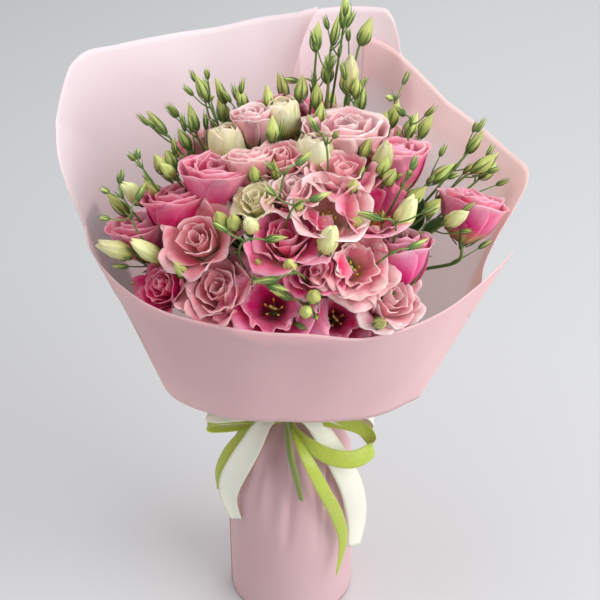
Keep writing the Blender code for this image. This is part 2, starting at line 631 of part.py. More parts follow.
def main():
    """Clears the scene and models the bouquet."""
    for made in list(bpy.data.objects):
        bpy.data.objects.remove(made)
    bouquet = bpy.data.objects.new("bouquet", None)
    bouquet.location = (CENTRE_X, CENTRE_Y, 0)
    bpy.context.scene.collection.objects.link(bouquet)

    colours = {
        "pale": (0.90, 0.58, 0.62), "pink": (0.85, 0.28, 0.45), "hot": (0.80, 0.12, 0.33),
        "deep": (0.62, 0.05, 0.17), "dusty": (0.74, 0.36, 0.40), "peach": (0.88, 0.48, 0.46),
        "cream": (0.88, 0.83, 0.62),
    }
    petals = {name: material("petal_" + name, colour, 0.6) for name, colour in colours.items()}
    green = material("stem_green", (0.22, 0.33, 0.10), 0.55)
    paper = material("pink_paper", (0.80, 0.55, 0.58), 0.7)
    cream = material("cream_satin", (0.85, 0.85, 0.74), 0.4)
    lime = material("lime_satin", (0.48, 0.58, 0.10), 0.4)
    twine = material("binding_twine", (0.42, 0.36, 0.18), 0.8)

    settled = settle()
    for name, (_, _, _, _, radius, depth, colour) in BLOOMS.items():
        axis, reach = settled[name]
        bloom(name, axis, reach, radius / 1000, depth / 1000, petals[colour])
    forks, spots = lattice(settled)
    for name in BUDS:
        spray(name, forks[name], spots[name], settled, green)

    left_rim = ((-68, 0.385), (-81, 0.435), (-84, 0.462), (-89, 0.487), (-97, 0.507), (-103, 0.532),
                (-108, 0.550), (-114, 0.556), (-122, 0.554), (-146, 0.554), (-165, 0.562), (-186, 0.574))
    hood_rim = ((183, 0.520), (177, 0.560), (173, 0.577), (149, 0.581), (145, 0.571), (140, 0.531),
                (136, 0.516))
    right_rim = ((155, 0.557), (146, 0.548), (135, 0.530), (122, 0.501), (108, 0.479), (100, 0.473),
                 (94, 0.472), (88, 0.466), (83, 0.448), (79, 0.420), (76, 0.400), (66, 0.385))
    gathered_sheet("paper_left", left_rim, (-50, -185), 0.0020, 18, paper)
    gathered_sheet("paper_hood", hood_rim[::-1], (120, 205), 0.0010, 12, paper)
    gathered_sheet("paper_right", right_rim[::-1], (48, 150), 0.0, 13, paper)
    front_band("paper_front", paper)
    skirt("paper_skirt", paper)
    stem_binding("stem_binding", twine)
    cream_ribbon(cream)
    lime_ribbon(lime)


main()
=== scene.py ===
"""The finished look of a lisianthus bouquet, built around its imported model.

Metres, +Z up, front towards -Y. Places are worked out about ORIGIN, the point of the floor below the
middle of the flower head, and moved there when a mesh is made. A heading is an angle about the vertical
in degrees: 0 faces the front, +90 the right. A tilt is measured from the vertical.
"""

import math
from functools import cached_property

import bpy
import numpy as np
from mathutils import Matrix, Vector


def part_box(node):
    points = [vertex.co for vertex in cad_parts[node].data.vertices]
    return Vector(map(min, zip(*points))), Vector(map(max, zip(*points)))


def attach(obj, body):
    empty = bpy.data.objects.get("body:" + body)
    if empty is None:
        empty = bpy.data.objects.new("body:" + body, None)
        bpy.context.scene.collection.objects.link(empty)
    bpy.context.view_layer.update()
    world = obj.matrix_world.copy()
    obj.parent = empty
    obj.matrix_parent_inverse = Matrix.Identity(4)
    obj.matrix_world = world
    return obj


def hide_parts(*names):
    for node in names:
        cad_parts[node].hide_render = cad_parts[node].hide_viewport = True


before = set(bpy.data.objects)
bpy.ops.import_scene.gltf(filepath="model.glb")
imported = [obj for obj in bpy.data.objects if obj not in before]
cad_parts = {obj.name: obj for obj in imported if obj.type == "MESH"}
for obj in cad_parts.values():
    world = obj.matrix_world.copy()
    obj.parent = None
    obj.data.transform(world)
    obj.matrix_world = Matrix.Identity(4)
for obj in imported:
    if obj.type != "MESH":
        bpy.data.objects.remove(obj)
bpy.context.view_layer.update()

# Driving dimensions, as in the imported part
TIE_X = -0.009  # the binding and the skirt stand a little left of the flower head
TIE_HEIGHT = 0.228
HEAD_HEIGHT = 0.350
STEM_SPACING = 0.0046
BUNDLE_RADIUS = 0.017
BUNDLE_TURN = 62.0
SPIRAL = 15.5  # how far the stems swing round per metre of height, for each metre from the bundle's middle
FOCUS = Vector((0, 0, 0.25))  # the tables' reaches are measured from here
FAN = Vector((0, 0, 0.30))  # the branches fan out from here
FORK_REACH = 0.050
VIA_REACH = 0.100
NECK = 0.0065
BLOOM_FILL = 0.73  # the share of a bloom's radius that its neighbours stay clear of
FLOWER_GAP = 0.006
LAP_GAP = 0.0012  # between the band and the sheets inside it
LAP = 0.0008
LAYER_SPREAD = 30.0  # how much faster than the collar the sheets' layers part above the binding
BAND_WIND = 0.0196  # the radius at which the ribbons go round the paper
SHEET_FOOT = 0.2205
SKIRT_TOP = 0.234

# Rounds of moving things apart, for the flowers and for the stems in the bundle
FLOWER_ROUNDS = 250
BUNDLE_ROUNDS = 600

PETAL_ROWS, PETAL_COLUMNS = 15, 13
PETAL_THICKNESS = 0.00018
PETAL_CLEARANCE = 0.003
PAPER_THICKNESS = 0.0004
RIBBON_THICKNESS = 0.0003
PLUMP_RADIUS = 0.0062  # buds this thick are cream and just opening
LONG_BRANCH = 0.05  # branches longer than this carry bracts and young buds
GOLDEN_ANGLE = 2.39996  # radians from each of a rosette's petals to the next
ANY_TURN = 6.28  # radians, the range of a random turn

# By kind of bloom: how far its petals reach past the table's radius, and how far its head turns up
SPREAD = {"cup": 1.10, "rosette": 1.16, "open": 1.28, "funnel": 1.20, "opening": 1.05}
UPRIGHT = {"cup": 0.80, "rosette": 0.12, "open": 0.0, "funnel": 0.1, "opening": 0.6}

# Young buds beside each bud of a spray, where there isn't just one
YOUNG_BUDS = {"upper_left": 4, "far_upper_left": 3, "top": 2, "far_right": 3}

# Thin side shoots over the blooms: spray, heading, tilt, reach from FOCUS in mm, and which way they lean
SHOOTS = (
    ("centre", -15, 38, 258, -20), ("centre", 1, 37, 264, -160), ("upper_middle", -4, 28, 290, 20),
    ("upper_middle", -8, 23, 296, 50), ("mid_left", -19, 34, 280, 10), ("low_left", -64, 36, 286, 160),
    ("low_left", -56, 38, 282, 120), ("right_middle", 40, 27, 294, 30), ("right_middle", 32, 33, 284, 150),
    ("low_right", 26, 36, 266, 0), ("front", 4, 42, 240, 160), ("mid_top", 16, 17, 298, 100),
    ("left", -64, 30, 296, 170), ("right_rear", 76, 20, 296, 40), ("back", 170, 22, 290, 20),
    ("back_left", -130, 24, 290, 60), ("back_right", 130, 24, 290, 120),
)

binding_low, binding_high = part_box("stem_binding")
ORIGIN = (binding_low + binding_high) / 2 - Vector((TIE_X, 0, TIE_HEIGHT))

# Each bloom: spray, heading, tilt, reach from FOCUS, radius and depth in mm, colour, kind
BLOOMS = {
    "bloom_top_pale": ("top", 53, 11, 288, 33, 46, "pale", "cup"),
    "bloom_upper_left_pink": ("upper_left", -45, 22, 280, 28, 44, "pink", "cup"),
    "bloom_left_deep": ("left", -54, 31, 272, 26, 42, "deep", "cup"),
    "bloom_small_pale": ("far_upper_left", -75, 9, 289, 18, 36, "pale", "cup"),
    "bloom_cream_left": ("far_upper_left", -67, 15, 286, 15, 38, "cream", "opening"),
    "bloom_cream_top": ("rear_top", -85, 3, 292, 14, 36, "cream", "opening"),
    "bloom_cream_middle": ("mid_top", 10, 13, 288, 16, 42, "cream", "opening"),
    "bloom_peach_small": ("upper_middle", -32, 18, 283, 18, 38, "peach", "cup"),
    "bloom_rear_top": ("rear_top", -144, 9, 282, 26, 42, "pink", "rosette"),
    "bloom_rose_middle": ("rear_top", -11, 14, 280, 22, 38, "dusty", "rosette"),
    "bloom_wide_top": ("mid_top", 24, 19, 280, 31, 36, "pink", "rosette"),
    "bloom_right_rear": ("right_rear", 62, 21, 283, 27, 44, "pink", "cup"),
    "bloom_twin_left": ("right_middle", 14, 26, 274, 25, 38, "pale", "funnel"),
    "bloom_twin_right": ("right_middle", 28, 27, 273, 25, 38, "pink", "funnel"),
    "bloom_rosette_pale": ("upper_middle", -5, 22, 277, 21, 34, "pale", "rosette"),
    "bloom_rosette_cream": ("upper_middle", -17, 24, 276, 18, 34, "cream", "rosette"),
    "bloom_centre": ("centre", -4, 31, 266, 28, 38, "dusty", "rosette"),
    "bloom_rosette_dusty": ("mid_left", -37, 34, 262, 30, 40, "dusty", "rosette"),
    "bloom_left_pink": ("low_left", -65, 39, 258, 26, 40, "pink", "cup"),
    "bloom_low_left_deep": ("low_front_left", -47, 44, 238, 25, 36, "deep", "rosette"),
    "bloom_low_dusty": ("low_front_left", -27, 40, 238, 30, 38, "dusty", "rosette"),
    "bloom_front_deep": ("front", -10, 41, 226, 32, 36, "deep", "open"),
    "bloom_low_centre": ("centre", 5, 36, 250, 20, 34, "pink", "rosette"),
    "bloom_front_hot": ("front", 13, 42, 217, 28, 36, "hot", "open"),
    "bloom_right_ruffled": ("low_right", 18, 36, 250, 25, 36, "peach", "open"),
    "bloom_low_right_pale": ("low_right", 30, 42, 238, 27, 38, "pale", "rosette"),
    "bloom_right_hot": ("low_right", 37, 37, 253, 26, 46, "hot", "cup"),
    "bloom_far_right": ("far_right", 77, 39, 268, 26, 44, "pink", "cup"),
    "bloom_back_left": ("back_left", -118, 27, 262, 27, 42, "dusty", "rosette"),
    "bloom_back": ("back", 178, 20, 268, 27, 42, "pink", "open"),
    "bloom_back_right": ("back_right", 125, 26, 265, 27, 42, "pale", "rosette"),
}

# Each spray's buds: heading, tilt, reach of the tip from FOCUS, length and radius in mm
BUDS = {
    "top": (
        (143, 5, 302, 24, 5.0), (141, 7, 325, 26, 5.5), (112, 8, 328, 34, 8.0), (102, 9, 314, 20, 4.5),
        (117, 11, 362, 26, 6.0), (138, 8, 378, 30, 5.0), (120, 7, 362, 26, 3.5), (155, 6, 352, 26, 5.0),
    ),
    "far_upper_left": ((-102, 17, 322, 26, 4.5), (-106, 14, 314, 24, 4.0), (-112, 11, 302, 22, 5.0)),
    "upper_left": (
        (-94, 26, 309, 26, 4.0), (-90, 22, 286, 22, 4.5), (-103, 20, 298, 26, 4.5), (-80, 25, 280, 20, 5.0),
    ),
    "left": (
        (-66, 27, 298, 22, 5.5), (-59, 28, 294, 20, 5.5), (-68, 34, 290, 32, 7.5), (-63, 31, 284, 26, 6.0),
    ),
    "low_left": ((-60, 43, 284, 34, 7.5), (-76, 38, 282, 28, 5.0), (-50, 42, 270, 34, 7.5)),
    "mid_left": ((-29, 30, 284, 24, 6.0), (-23, 30, 283, 24, 6.0), (-16, 30, 280, 24, 6.5)),
    "upper_middle": ((0, 27, 292, 32, 3.5), (-11, 20, 296, 32, 3.5), (-22, 21, 290, 22, 5.0)),
    "rear_top": (
        (-26, 10, 300, 24, 5.5), (170, 5, 306, 24, 6.0), (75, 4, 292, 22, 5.0), (-110, 6, 304, 26, 5.0),
    ),
    "mid_top": ((18, 24, 292, 20, 4.5), (33, 20, 298, 22, 5.0), (40, 15, 296, 22, 5.0)),
    "right_rear": (
        (90, 15, 292, 20, 5.0), (98, 17, 300, 26, 5.5), (88, 20, 298, 24, 5.5), (50, 18, 300, 34, 8.5),
    ),
    "far_right": (
        (91, 32, 308, 24, 4.5), (88, 36, 300, 30, 6.0), (93, 38, 288, 20, 5.0), (66, 29, 294, 26, 5.0),
        (58, 36, 280, 28, 6.5),
    ),
    "right_middle": (
        (38, 25, 296, 22, 5.5), (37, 30, 290, 36, 8.5), (46, 29, 292, 24, 6.0), (50, 32, 286, 24, 6.0),
    ),
    "centre": ((8, 31, 284, 30, 8.5), (-4, 38, 268, 24, 6.0), (-12, 37, 266, 28, 3.5)),
    "front": ((2, 44, 252, 22, 5.5), (5, 40, 262, 24, 6.0)),
    "low_right": ((22, 31, 280, 24, 6.0), (22, 44, 254, 22, 5.0)),
    "back_left": ((-125, 18, 292, 26, 5.0), (-140, 25, 284, 26, 5.5)),
    "back": ((-165, 14, 300, 26, 5.0), (165, 26, 284, 26, 5.5)),
    "back_right": ((110, 26, 292, 26, 5.5), (140, 18, 296, 26, 5.0)),
    "low_front_left": ((-36, 38, 264, 24, 5.5),),
}

# Each height's radii of the gathered sheets, at these headings. In front of COLLAR_FRONT only the band
# keeps the petals in
COLLAR_FRONT = 62
COLLAR_HEADINGS = (-180, -135, -90, -60, 60, 90, 135, 180)
COLLAR = (
    (0.218, (0.0153,) * 8),
    (0.236, (0.0155,) * 8),
    (0.270, (0.045, 0.052, 0.064, 0.068, 0.066, 0.056, 0.048, 0.045)),
    (0.330, (0.078, 0.098, 0.140, 0.155, 0.160, 0.108, 0.090, 0.078)),
    (0.390, (0.101, 0.131, 0.173, 0.184, 0.172, 0.156, 0.122, 0.101)),
    (0.440, (0.115, 0.152, 0.196, 0.197, 0.182, 0.187, 0.140, 0.115)),
    (0.500, (0.124, 0.162, 0.203, 0.205, 0.205, 0.215, 0.150, 0.124)),
    (0.600, (0.131, 0.164, 0.210, 0.212, 0.230, 0.238, 0.156, 0.131)),
)
# The front band's radii at two heights, and the (heading, height) of its rim
BAND_HEADINGS = (-100, -72, -50, 0, 50, 62, 76)
BAND_LOW, BAND_LOW_RADII = 0.270, (0.129, 0.134, 0.125, 0.107, 0.122, 0.124, 0.129)
BAND_HIGH, BAND_HIGH_RADII = 0.430, (0.190, 0.192, 0.187, 0.180, 0.186, 0.191, 0.199)
BAND_RIM = ((-97, 0.433), (-84, 0.435), (-72, 0.432), (-53, 0.413), (-30, 0.409), (0, 0.407),
            (20, 0.397), (35, 0.400), (53, 0.409), (75, 0.421))
# The skirt's (height, radius) from the ground up
SKIRT = (
    (0.0, 0.0630), (0.100, 0.0635), (0.150, 0.0610), (0.180, 0.0550), (0.200, 0.0440),
    (0.211, 0.0290), (0.2185, 0.0184), (0.234, 0.0181),
)
# The gathered sheets' free edges, as (heading, height) from end to end
LEFT_RIM = (
    (-68, 0.385), (-81, 0.435), (-84, 0.462), (-89, 0.487), (-97, 0.507), (-103, 0.532), (-108, 0.550),
    (-114, 0.556), (-122, 0.554), (-146, 0.554), (-165, 0.562), (-186, 0.574),
)
HOOD_RIM = ((136, 0.516), (140, 0.531), (145, 0.571), (149, 0.581), (173, 0.577), (177, 0.560), (183, 0.520))
RIGHT_RIM = (
    (66, 0.385), (76, 0.400), (79, 0.420), (83, 0.448), (88, 0.466), (94, 0.472), (100, 0.473),
    (108, 0.479), (122, 0.501), (135, 0.530), (146, 0.548), (155, 0.557),
)
BAND_HEM = ((-97, 0.290), (-72, 0.271), (-50, 0.2725), (-4, 0.280), (30, 0.2755), (50, 0.2755), (61, 0.271))


# Places, worked out as the part does


def unit(heading, tilt=90.0):
    """A direction of length 1."""
    h, t = math.radians(heading), math.radians(tilt)
    return Vector((math.sin(t) * math.sin(h), -math.sin(t) * math.cos(h), math.cos(t)))


def clamp(value, low=0.0, high=1.0):
    return min(max(value, low), high)


def hill(x, middle, width):
    """1 at the middle, falling away smoothly on both sides."""
    return math.exp(-((x - middle) / width) ** 2)


def ripple(count, heading):
    """A wave of so many crests round the bouquet."""
    return math.cos(math.radians(count * heading))


def from_fan(heading, tilt, reach):
    """The way from FAN to a place at a reach in mm from FOCUS."""
    return FOCUS + unit(heading, tilt) * reach / 1000 - FAN


def settle():
    """Each bloom's and bud's way and distance from FAN, turned just enough that their cones stay apart."""
    items = {}
    for name, (_, heading, tilt, reach, radius, _, _, _) in BLOOMS.items():
        place = from_fan(heading, tilt, reach)
        cone = math.atan2(BLOOM_FILL * radius / 1000, place.length)
        items[name] = [place.normalized(), place.length, cone, 1.0]
    for spray_name, buds in BUDS.items():
        for k, (heading, tilt, reach, length, radius) in enumerate(buds):
            place = from_fan(heading, tilt, reach)
            cone = math.atan2(radius / 1000, place.length - length / 2000)
            items[f"{spray_name}_{k}"] = [place.normalized(), place.length, cone, 0.0]
    rows = list(items.values())
    for _ in range(FLOWER_ROUNDS):
        for i, a in enumerate(rows):
            for b in rows[i + 1:]:
                short = a[2] + b[2] + FLOWER_GAP - a[0].angle(b[0])
                if short <= 0:
                    continue
                # Two of a kind share the move, and a bud gives way to a bloom
                away = (a[0] - b[0]).normalized()
                share = 0.5 if a[3] == b[3] else float(b[3] > a[3])
                a[0] = (a[0] + away * short * share).normalized()
                b[0] = (b[0] - away * short * (1 - share)).normalized()
    return {name: (row[0], row[1]) for name, row in items.items()}


def members(spray_name):
    """The names of a spray's blooms and buds."""
    blooms = [name for name, row in BLOOMS.items() if row[0] == spray_name]
    return blooms + [f"{spray_name}_{k}" for k in range(len(BUDS[spray_name]))]


def lattice(settled):
    """Each spray's fork direction, and its stem's place in the bundle at the binding."""
    forks = {}
    for name in BUDS:
        forks[name] = sum((settled[item][0] for item in members(name)), Vector()).normalized()
    cosine, sine = math.cos(math.radians(BUNDLE_TURN)), math.sin(math.radians(BUNDLE_TURN))
    spots = {}
    for name, fork in forks.items():
        x, y = BUNDLE_RADIUS * fork.x, BUNDLE_RADIUS * fork.y
        spots[name] = Vector((x * cosine - y * sine, x * sine + y * cosine))
    names = list(spots)
    for count in range(BUNDLE_ROUNDS):
        for i, a in enumerate(names):
            for b in names[i + 1:]:
                gap = spots[a] - spots[b]
                short = STEM_SPACING - gap.length
                if short > 0:
                    push = (gap.normalized() if gap.length > 1e-6 else Vector((1, 0))) * short * 0.5
                    spots[a] += push
                    spots[b] -= push
        if count < BUNDLE_ROUNDS / 2:
            for name in names:
                spots[name] *= 0.99
    return forks, spots


def along_spiral(spot, height):
    """Where a stem is at a height below its fork: the stems cross in a spiral at the binding."""
    drop = SPIRAL * (TIE_HEIGHT - height)
    return Vector((TIE_X + spot.x - drop * spot.y, spot.y + drop * spot.x, height))


def curve_value(knots, values, x):
    """A smooth curve through the values that never swings past them, level beyond its two ends."""
    if x <= knots[0]:
        return values[0]
    if x >= knots[-1]:
        return values[-1]
    i = max(k for k in range(len(knots) - 1) if knots[k] <= x)
    slope = [(values[k + 1] - values[k]) / (knots[k + 1] - knots[k]) for k in range(len(knots) - 1)]

    def tangent(k):
        if k in (0, len(knots) - 1):
            return slope[min(k, len(slope) - 1)]
        before, after = slope[k - 1], slope[k]
        return 0.0 if before * after <= 0 else 2 * before * after / (before + after)

    step = knots[i + 1] - knots[i]
    u = (x - knots[i]) / step
    rise = u * u * (3 - 2 * u)
    bow = u * (1 - u) ** 2 * tangent(i) - u * u * (1 - u) * tangent(i + 1)
    return values[i] * (1 - rise) + values[i + 1] * rise + step * bow


def smooth(knots, share):
    """Points on the smooth curve through evenly spaced knots, for an array of shares from 0 to 1."""
    knots = np.asarray(knots, float)
    ends = np.concatenate([[2 * knots[0] - knots[1]], knots, [2 * knots[-1] - knots[-2]]])
    place = np.clip(share, 0, 1) * (len(knots) - 1)
    k = np.minimum(place.astype(int), len(knots) - 2)
    t = place - k
    if knots.ndim > 1:
        t = t[..., None]
    a, b, c, d = ends[k], ends[k + 1], ends[k + 2], ends[k + 3]
    square, cube = 2 * a - 5 * b + 4 * c - d, 3 * b - a - 3 * c + d
    return b + 0.5 * ((c - a) * t + square * t ** 2 + cube * t ** 3)


def seeded(name):
    """A source of random numbers that is always the same for the same name."""
    return np.random.default_rng(sum(ord(letter) * (k + 7) for k, letter in enumerate(name)))


# Meshes


def placed(name, data):
    """A new object, linked to the scene."""
    made = bpy.data.objects.new(name, data)
    bpy.context.scene.collection.objects.link(made)
    return made


class Piece:
    """A mesh being put together from grids of points, each with its own material and its own UV strip."""

    def __init__(self, name):
        self.name = name
        self.points, self.faces, self.uvs, self.slots = [], [], [], []
        self.count = 0

    def grid(self, points, slot=0, closed=False):
        """Faces over points[row, column]; closed joins the last column to the first."""
        points = np.asarray(points, float)
        rows, columns = points.shape[:2]
        around = columns if closed else columns - 1
        i, j = (index.ravel() for index in np.meshgrid(np.arange(rows - 1), np.arange(around), indexing="ij"))
        n = (j + 1) % columns
        low, high = i * columns, (i + 1) * columns
        corners = np.stack([low + j, low + n, high + n, high + j], 1)
        # u stays between two whole numbers, the lower of which is the strip's own
        u = len(self.points) + 0.001 + 0.998 * np.stack([j, j + 1, j + 1, j], 1) / around
        v = np.stack([i, i, i + 1, i + 1], 1) / (rows - 1)
        self.points.append(points.reshape(-1, 3))
        self.faces.append(corners + self.count)
        self.uvs.append(np.stack([u, v], 2).reshape(-1, 2))
        self.slots.append(np.full(len(corners), slot))
        self.count += rows * columns

    def make(self, finishes, node=None, thickness=None):
        """The finished object, which stands for a node of the part if one is named."""
        mesh = bpy.data.meshes.new(self.name)
        mesh.from_pydata(np.concatenate(self.points) + np.array(ORIGIN), [], np.concatenate(self.faces))
        mesh.uv_layers.new(name="strip").uv.foreach_set("vector", np.concatenate(self.uvs).ravel())
        mesh.polygons.foreach_set("material_index", np.concatenate(self.slots))
        mesh.validate()
        mesh.shade_smooth()
        for finish in finishes:
            mesh.materials.append(finish)
        made = placed(self.name, mesh)
        if thickness:
            shell = made.modifiers.new("thickness", "SOLIDIFY")
            shell.thickness = thickness
            shell.offset = 0.0
        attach(made, "root")
        if node:
            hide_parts(node)
        return made


def normalised(rows):
    return rows / np.linalg.norm(rows, axis=-1, keepdims=True)


def round_angles(count):
    return np.linspace(0, 2 * math.pi, count, endpoint=False)


def basis(axis, spin=0.0):
    """Rows x, y, z of a frame whose z is the axis."""
    z = normalised(np.array(axis, float))
    x = normalised(np.cross(z, (0.2, 1.0, 0.1)))
    y = np.cross(z, x)
    c, s = math.cos(spin), math.sin(spin)
    return np.array([x * c + y * s, y * c - x * s, z])


def crosswise(path):
    """Two crosswise directions along a path, carried along without twisting."""
    ahead = normalised(np.gradient(path, axis=0))
    side = np.cross(ahead[0], (0.31, -0.83, 0.12))
    rows = []
    for way in ahead:
        side = normalised(side - way * (side @ way))
        rows.append(side)
    return np.array(rows), np.cross(ahead, rows)


def tube(piece, path, radii, slot=0, sides=8):
    """A round stem along the path, rounded off to a point at both ends."""
    path = np.array(path, float)
    radii = np.asarray(radii, float) * np.ones(len(path))
    radii = np.concatenate([[radii[0] * 0.02], radii, [radii[-1] * 0.02]])[:, None, None]
    across, up = crosswise(path)
    path, across, up = (np.vstack([rows[:1], rows, rows[-1:]])[:, None] for rows in (path, across, up))
    angles = round_angles(sides)[None, :, None]
    piece.grid(path + (np.cos(angles) * across + np.sin(angles) * up) * radii, slot, closed=True)


def stalk(piece, knots, low, high, count, sides=7):
    """A stem along the smooth curve through the knots, its radius from low to high; its middle line."""
    path = smooth(knots, np.linspace(0, 1, count))
    tube(piece, path, np.linspace(low, high, count), sides=sides)
    return path


def blade(piece, path, face, widths, slot=0, thick=0.0004, keel=0.25):
    """A leaf, sepal or bract: a lens-shaped blade along the path whose upper side faces face."""
    path = np.array(path, float)
    ahead = normalised(np.gradient(path, axis=0))
    side = normalised(np.cross(ahead, np.asarray(face, float)))
    up = np.cross(side, ahead)[:, None]
    half = np.asarray(widths, float)[:, None, None] / 2
    angles = round_angles(8)[None, :, None]
    flat = np.cos(angles) * half
    lift = np.sin(angles) * thick * np.minimum(1, half / 0.001) + np.abs(flat) * keel
    piece.grid(path[:, None] + side[:, None] * flat + up * lift, slot, closed=True)


# Materials


class Finish:
    """A new material, with short ways to put nodes before its Principled shader."""

    def __init__(self, name, sockets):
        self.material = bpy.data.materials.new(name)
        self.material.use_nodes = True
        self.tree = self.material.node_tree
        self.shader = self.tree.nodes["Principled BSDF"]
        self.feed(self.shader, sockets)

    def feed(self, node, inputs):
        """Sets a node's inputs, or links those that come from another node. A colour has three numbers."""
        for key, value in inputs.items():
            if isinstance(value, bpy.types.NodeSocket):
                self.tree.links.new(value, node.inputs[key])
            elif node.inputs[key].type == "RGBA":
                node.inputs[key].default_value = (*value, 1.0)
            else:
                node.inputs[key].default_value = value

    def node(self, kind, inputs, output=0, **settings):
        """The output of a new node."""
        new = self.tree.nodes.new("ShaderNode" + kind)
        for key, value in settings.items():
            setattr(new, key, value)
        self.feed(new, inputs)
        return new.outputs[output]

    def maths(self, operation, a, b=0.0):
        return self.node("Math", {0: a, 1: b}, operation=operation)

    def scaled(self, value, by, plus=0.0):
        return self.node("Math", {0: value, 1: by, 2: plus}, operation="MULTIPLY_ADD")

    def ramp(self, value, *stops):
        """A colour ramp over value, through stops (place, colour)."""
        colour = self.node("ValToRGB", {"Fac": value})
        elements = colour.node.color_ramp.elements
        while len(elements) < len(stops):
            elements.new(0.5)
        for element, (place, shade) in zip(elements, stops):
            element.position = place
            element.color = (*shade, 1.0)
        return colour

    def greys(self, value, low, dark, high, light):
        """A ramp from one grey at low to another at high."""
        return self.ramp(value, (low, (dark,) * 3), (high, (light,) * 3))

    def mix(self, factor, a, b, blend="MIX"):
        return self.node("Mix", {0: factor, 6: a, 7: b}, output=2, data_type="RGBA", blend_type=blend)

    @cached_property
    def strip(self):
        """u across one strip from 0 to 1, v along it, and the strip's number."""
        parts = self.node("SeparateXYZ", {0: self.node("UVMap", {}, uv_map="strip")}).node.outputs
        number = self.maths("FLOOR", parts["X"])
        return self.maths("SUBTRACT", parts["X"], number), parts["Y"], number

    def strip_noise(self, across, along, scale, detail):
        """Noise stretched along the strips, and different on each."""
        u, v, number = self.strip
        place = self.node("CombineXYZ", {0: self.scaled(u, across), 1: self.scaled(v, along), 2: number})
        return self.node("TexNoise", {"Vector": place, "Scale": scale, "Detail": detail})

    def object_noise(self, scale, detail):
        place = self.node("TexCoord", {}, output="Object")
        return self.node("TexNoise", {"Vector": place, "Scale": scale, "Detail": detail})

    def chance(self):
        """A random number from 0 to 1 for each strip."""
        return self.node("TexWhiteNoise", {"W": self.strip[2]}, noise_dimensions="1D")

    def sides(self, power):
        """1 at both sides of each strip, falling away towards its middle."""
        return self.maths("POWER", self.maths("ABSOLUTE", self.scaled(self.strip[0], 2.0, -1.0)), power)

    def done(self, colour, height=None, strength=0.0, distance=0.0):
        """Links the colour, and a bump where there is one, and returns the material."""
        self.feed(self.shader, {"Base Color": colour})
        if height:
            bump = self.node("Bump", {"Height": height, "Strength": strength, "Distance": distance})
            self.feed(self.shader, {"Normal": bump})
        return self.material


def petal_material(name, throat, body, light, edge, deep):
    """Petal colour from the throat through the body to the edge, with veins fanning to the rim."""
    finish = Finish(name, {
        "Roughness": 0.55, "Subsurface Weight": 0.35, "Subsurface Scale": 0.006,
        "Subsurface Radius": (1.0, 0.45, 0.45), "Sheen Weight": 0.15, "Specular IOR Level": 0.35,
    })
    v = finish.strip[1]
    along = finish.ramp(v, (0.0, throat), (0.22, throat), (0.45, body), (0.80, light), (1.0, edge))
    # Soft blotches, so that no two petals match
    blotch = finish.strip_noise(2.2, 1.6, 1.4, 2.0)
    blotched = finish.mix(finish.greys(blotch, 0.35, 0.0, 0.72, 0.75), along, deep)
    # Veins run along the petal
    vein = finish.strip_noise(34.0, 2.2, 1.0, 3.0)
    veined = finish.mix(0.55, blotched, finish.greys(vein, 0.3, 0.86, 0.6, 1.0), "MULTIPLY")
    # A pale frilled rim, along the end and down both sides
    outer = finish.maths("MAXIMUM", finish.sides(7.0), finish.maths("POWER", v, 14.0))
    rimmed = finish.mix(finish.scaled(finish.maths("MULTIPLY", outer, v), 0.40), veined, edge)
    chance = finish.chance()
    toned = finish.node("HueSaturation", {
        "Color": rimmed,
        "Saturation": finish.scaled(chance, 0.20, 1.05),
        "Value": finish.scaled(chance, -0.12, 1.03),
    })
    return finish.done(toned, vein, 0.35, 0.0006)


def green_material(name, low, middle, high, roughness=0.45):
    """Stems, buds, sepals and leaves: a gradient along each, with fine lengthwise ribs."""
    finish = Finish(name, {
        "Roughness": roughness, "Subsurface Weight": 0.15, "Subsurface Scale": 0.003,
        "Subsurface Radius": (0.5, 1.0, 0.3), "Specular IOR Level": 0.4,
    })
    along = finish.ramp(finish.strip[1], (0.0, low), (0.5, middle), (1.0, high))
    rib = finish.strip_noise(9.0, 1.5, 1.6, 3.0)
    ribbed = finish.mix(0.8, along, finish.greys(rib, 0.3, 0.62, 0.65, 1.05), "MULTIPLY")
    chance = finish.chance()
    toned = finish.node("HueSaturation", {
        "Color": ribbed,
        "Hue": finish.scaled(chance, 0.03, 0.485),
        "Value": finish.scaled(chance, 0.35, 0.82),
    })
    return finish.done(toned, rib, 0.4, 0.0005)


def paper_material(name, low, high, hollow_shade=None):
    """Matt wrapping paper with a faint fibre. The last colour, where one is given, is painted shade: a darker
    pink over the sheet's upper edge, for the shaded hollow where it lies doubled over a second sheet.
    """
    finish = Finish(name, {
        "Roughness": 0.62, "Subsurface Weight": 0.55, "Subsurface Scale": 0.005,
        "Subsurface Radius": (1.0, 0.6, 0.55), "Specular IOR Level": 0.3,
    })
    base = finish.ramp(finish.object_noise(7.0, 2.0), (0.3, low), (0.7, high))
    if hollow_shade:
        # Painted shade: towards the sheet's upper edge the colour turns to the darker pink of the shaded
        # hollow
        base = finish.mix(finish.greys(finish.strip[0], 0.78, 0.0, 0.90, 1.0), base, hollow_shade)
    fibre = finish.object_noise(900.0, 4.0)
    speckled = finish.mix(0.5, base, finish.greys(fibre, 0.3, 0.94, 0.7, 1.0), "MULTIPLY")
    return finish.done(speckled, fibre, 0.12, 0.0004)


def satin_material(name, dark, light, edge):
    """Satin ribbon: fine cross threads, a sheen, and a woven edge along both sides."""
    finish = Finish(name, {
        "Roughness": 0.36, "Subsurface Weight": 0.15, "Subsurface Scale": 0.002, "Sheen Weight": 0.35,
    })
    thread = finish.strip_noise(3.0, 260.0, 1.0, 2.0)
    woven = finish.ramp(thread, (0.3, dark), (0.7, light))
    edged = finish.mix(finish.scaled(finish.sides(18.0), 0.7), woven, edge)
    return finish.done(edged, thread, 0.2, 0.0003)


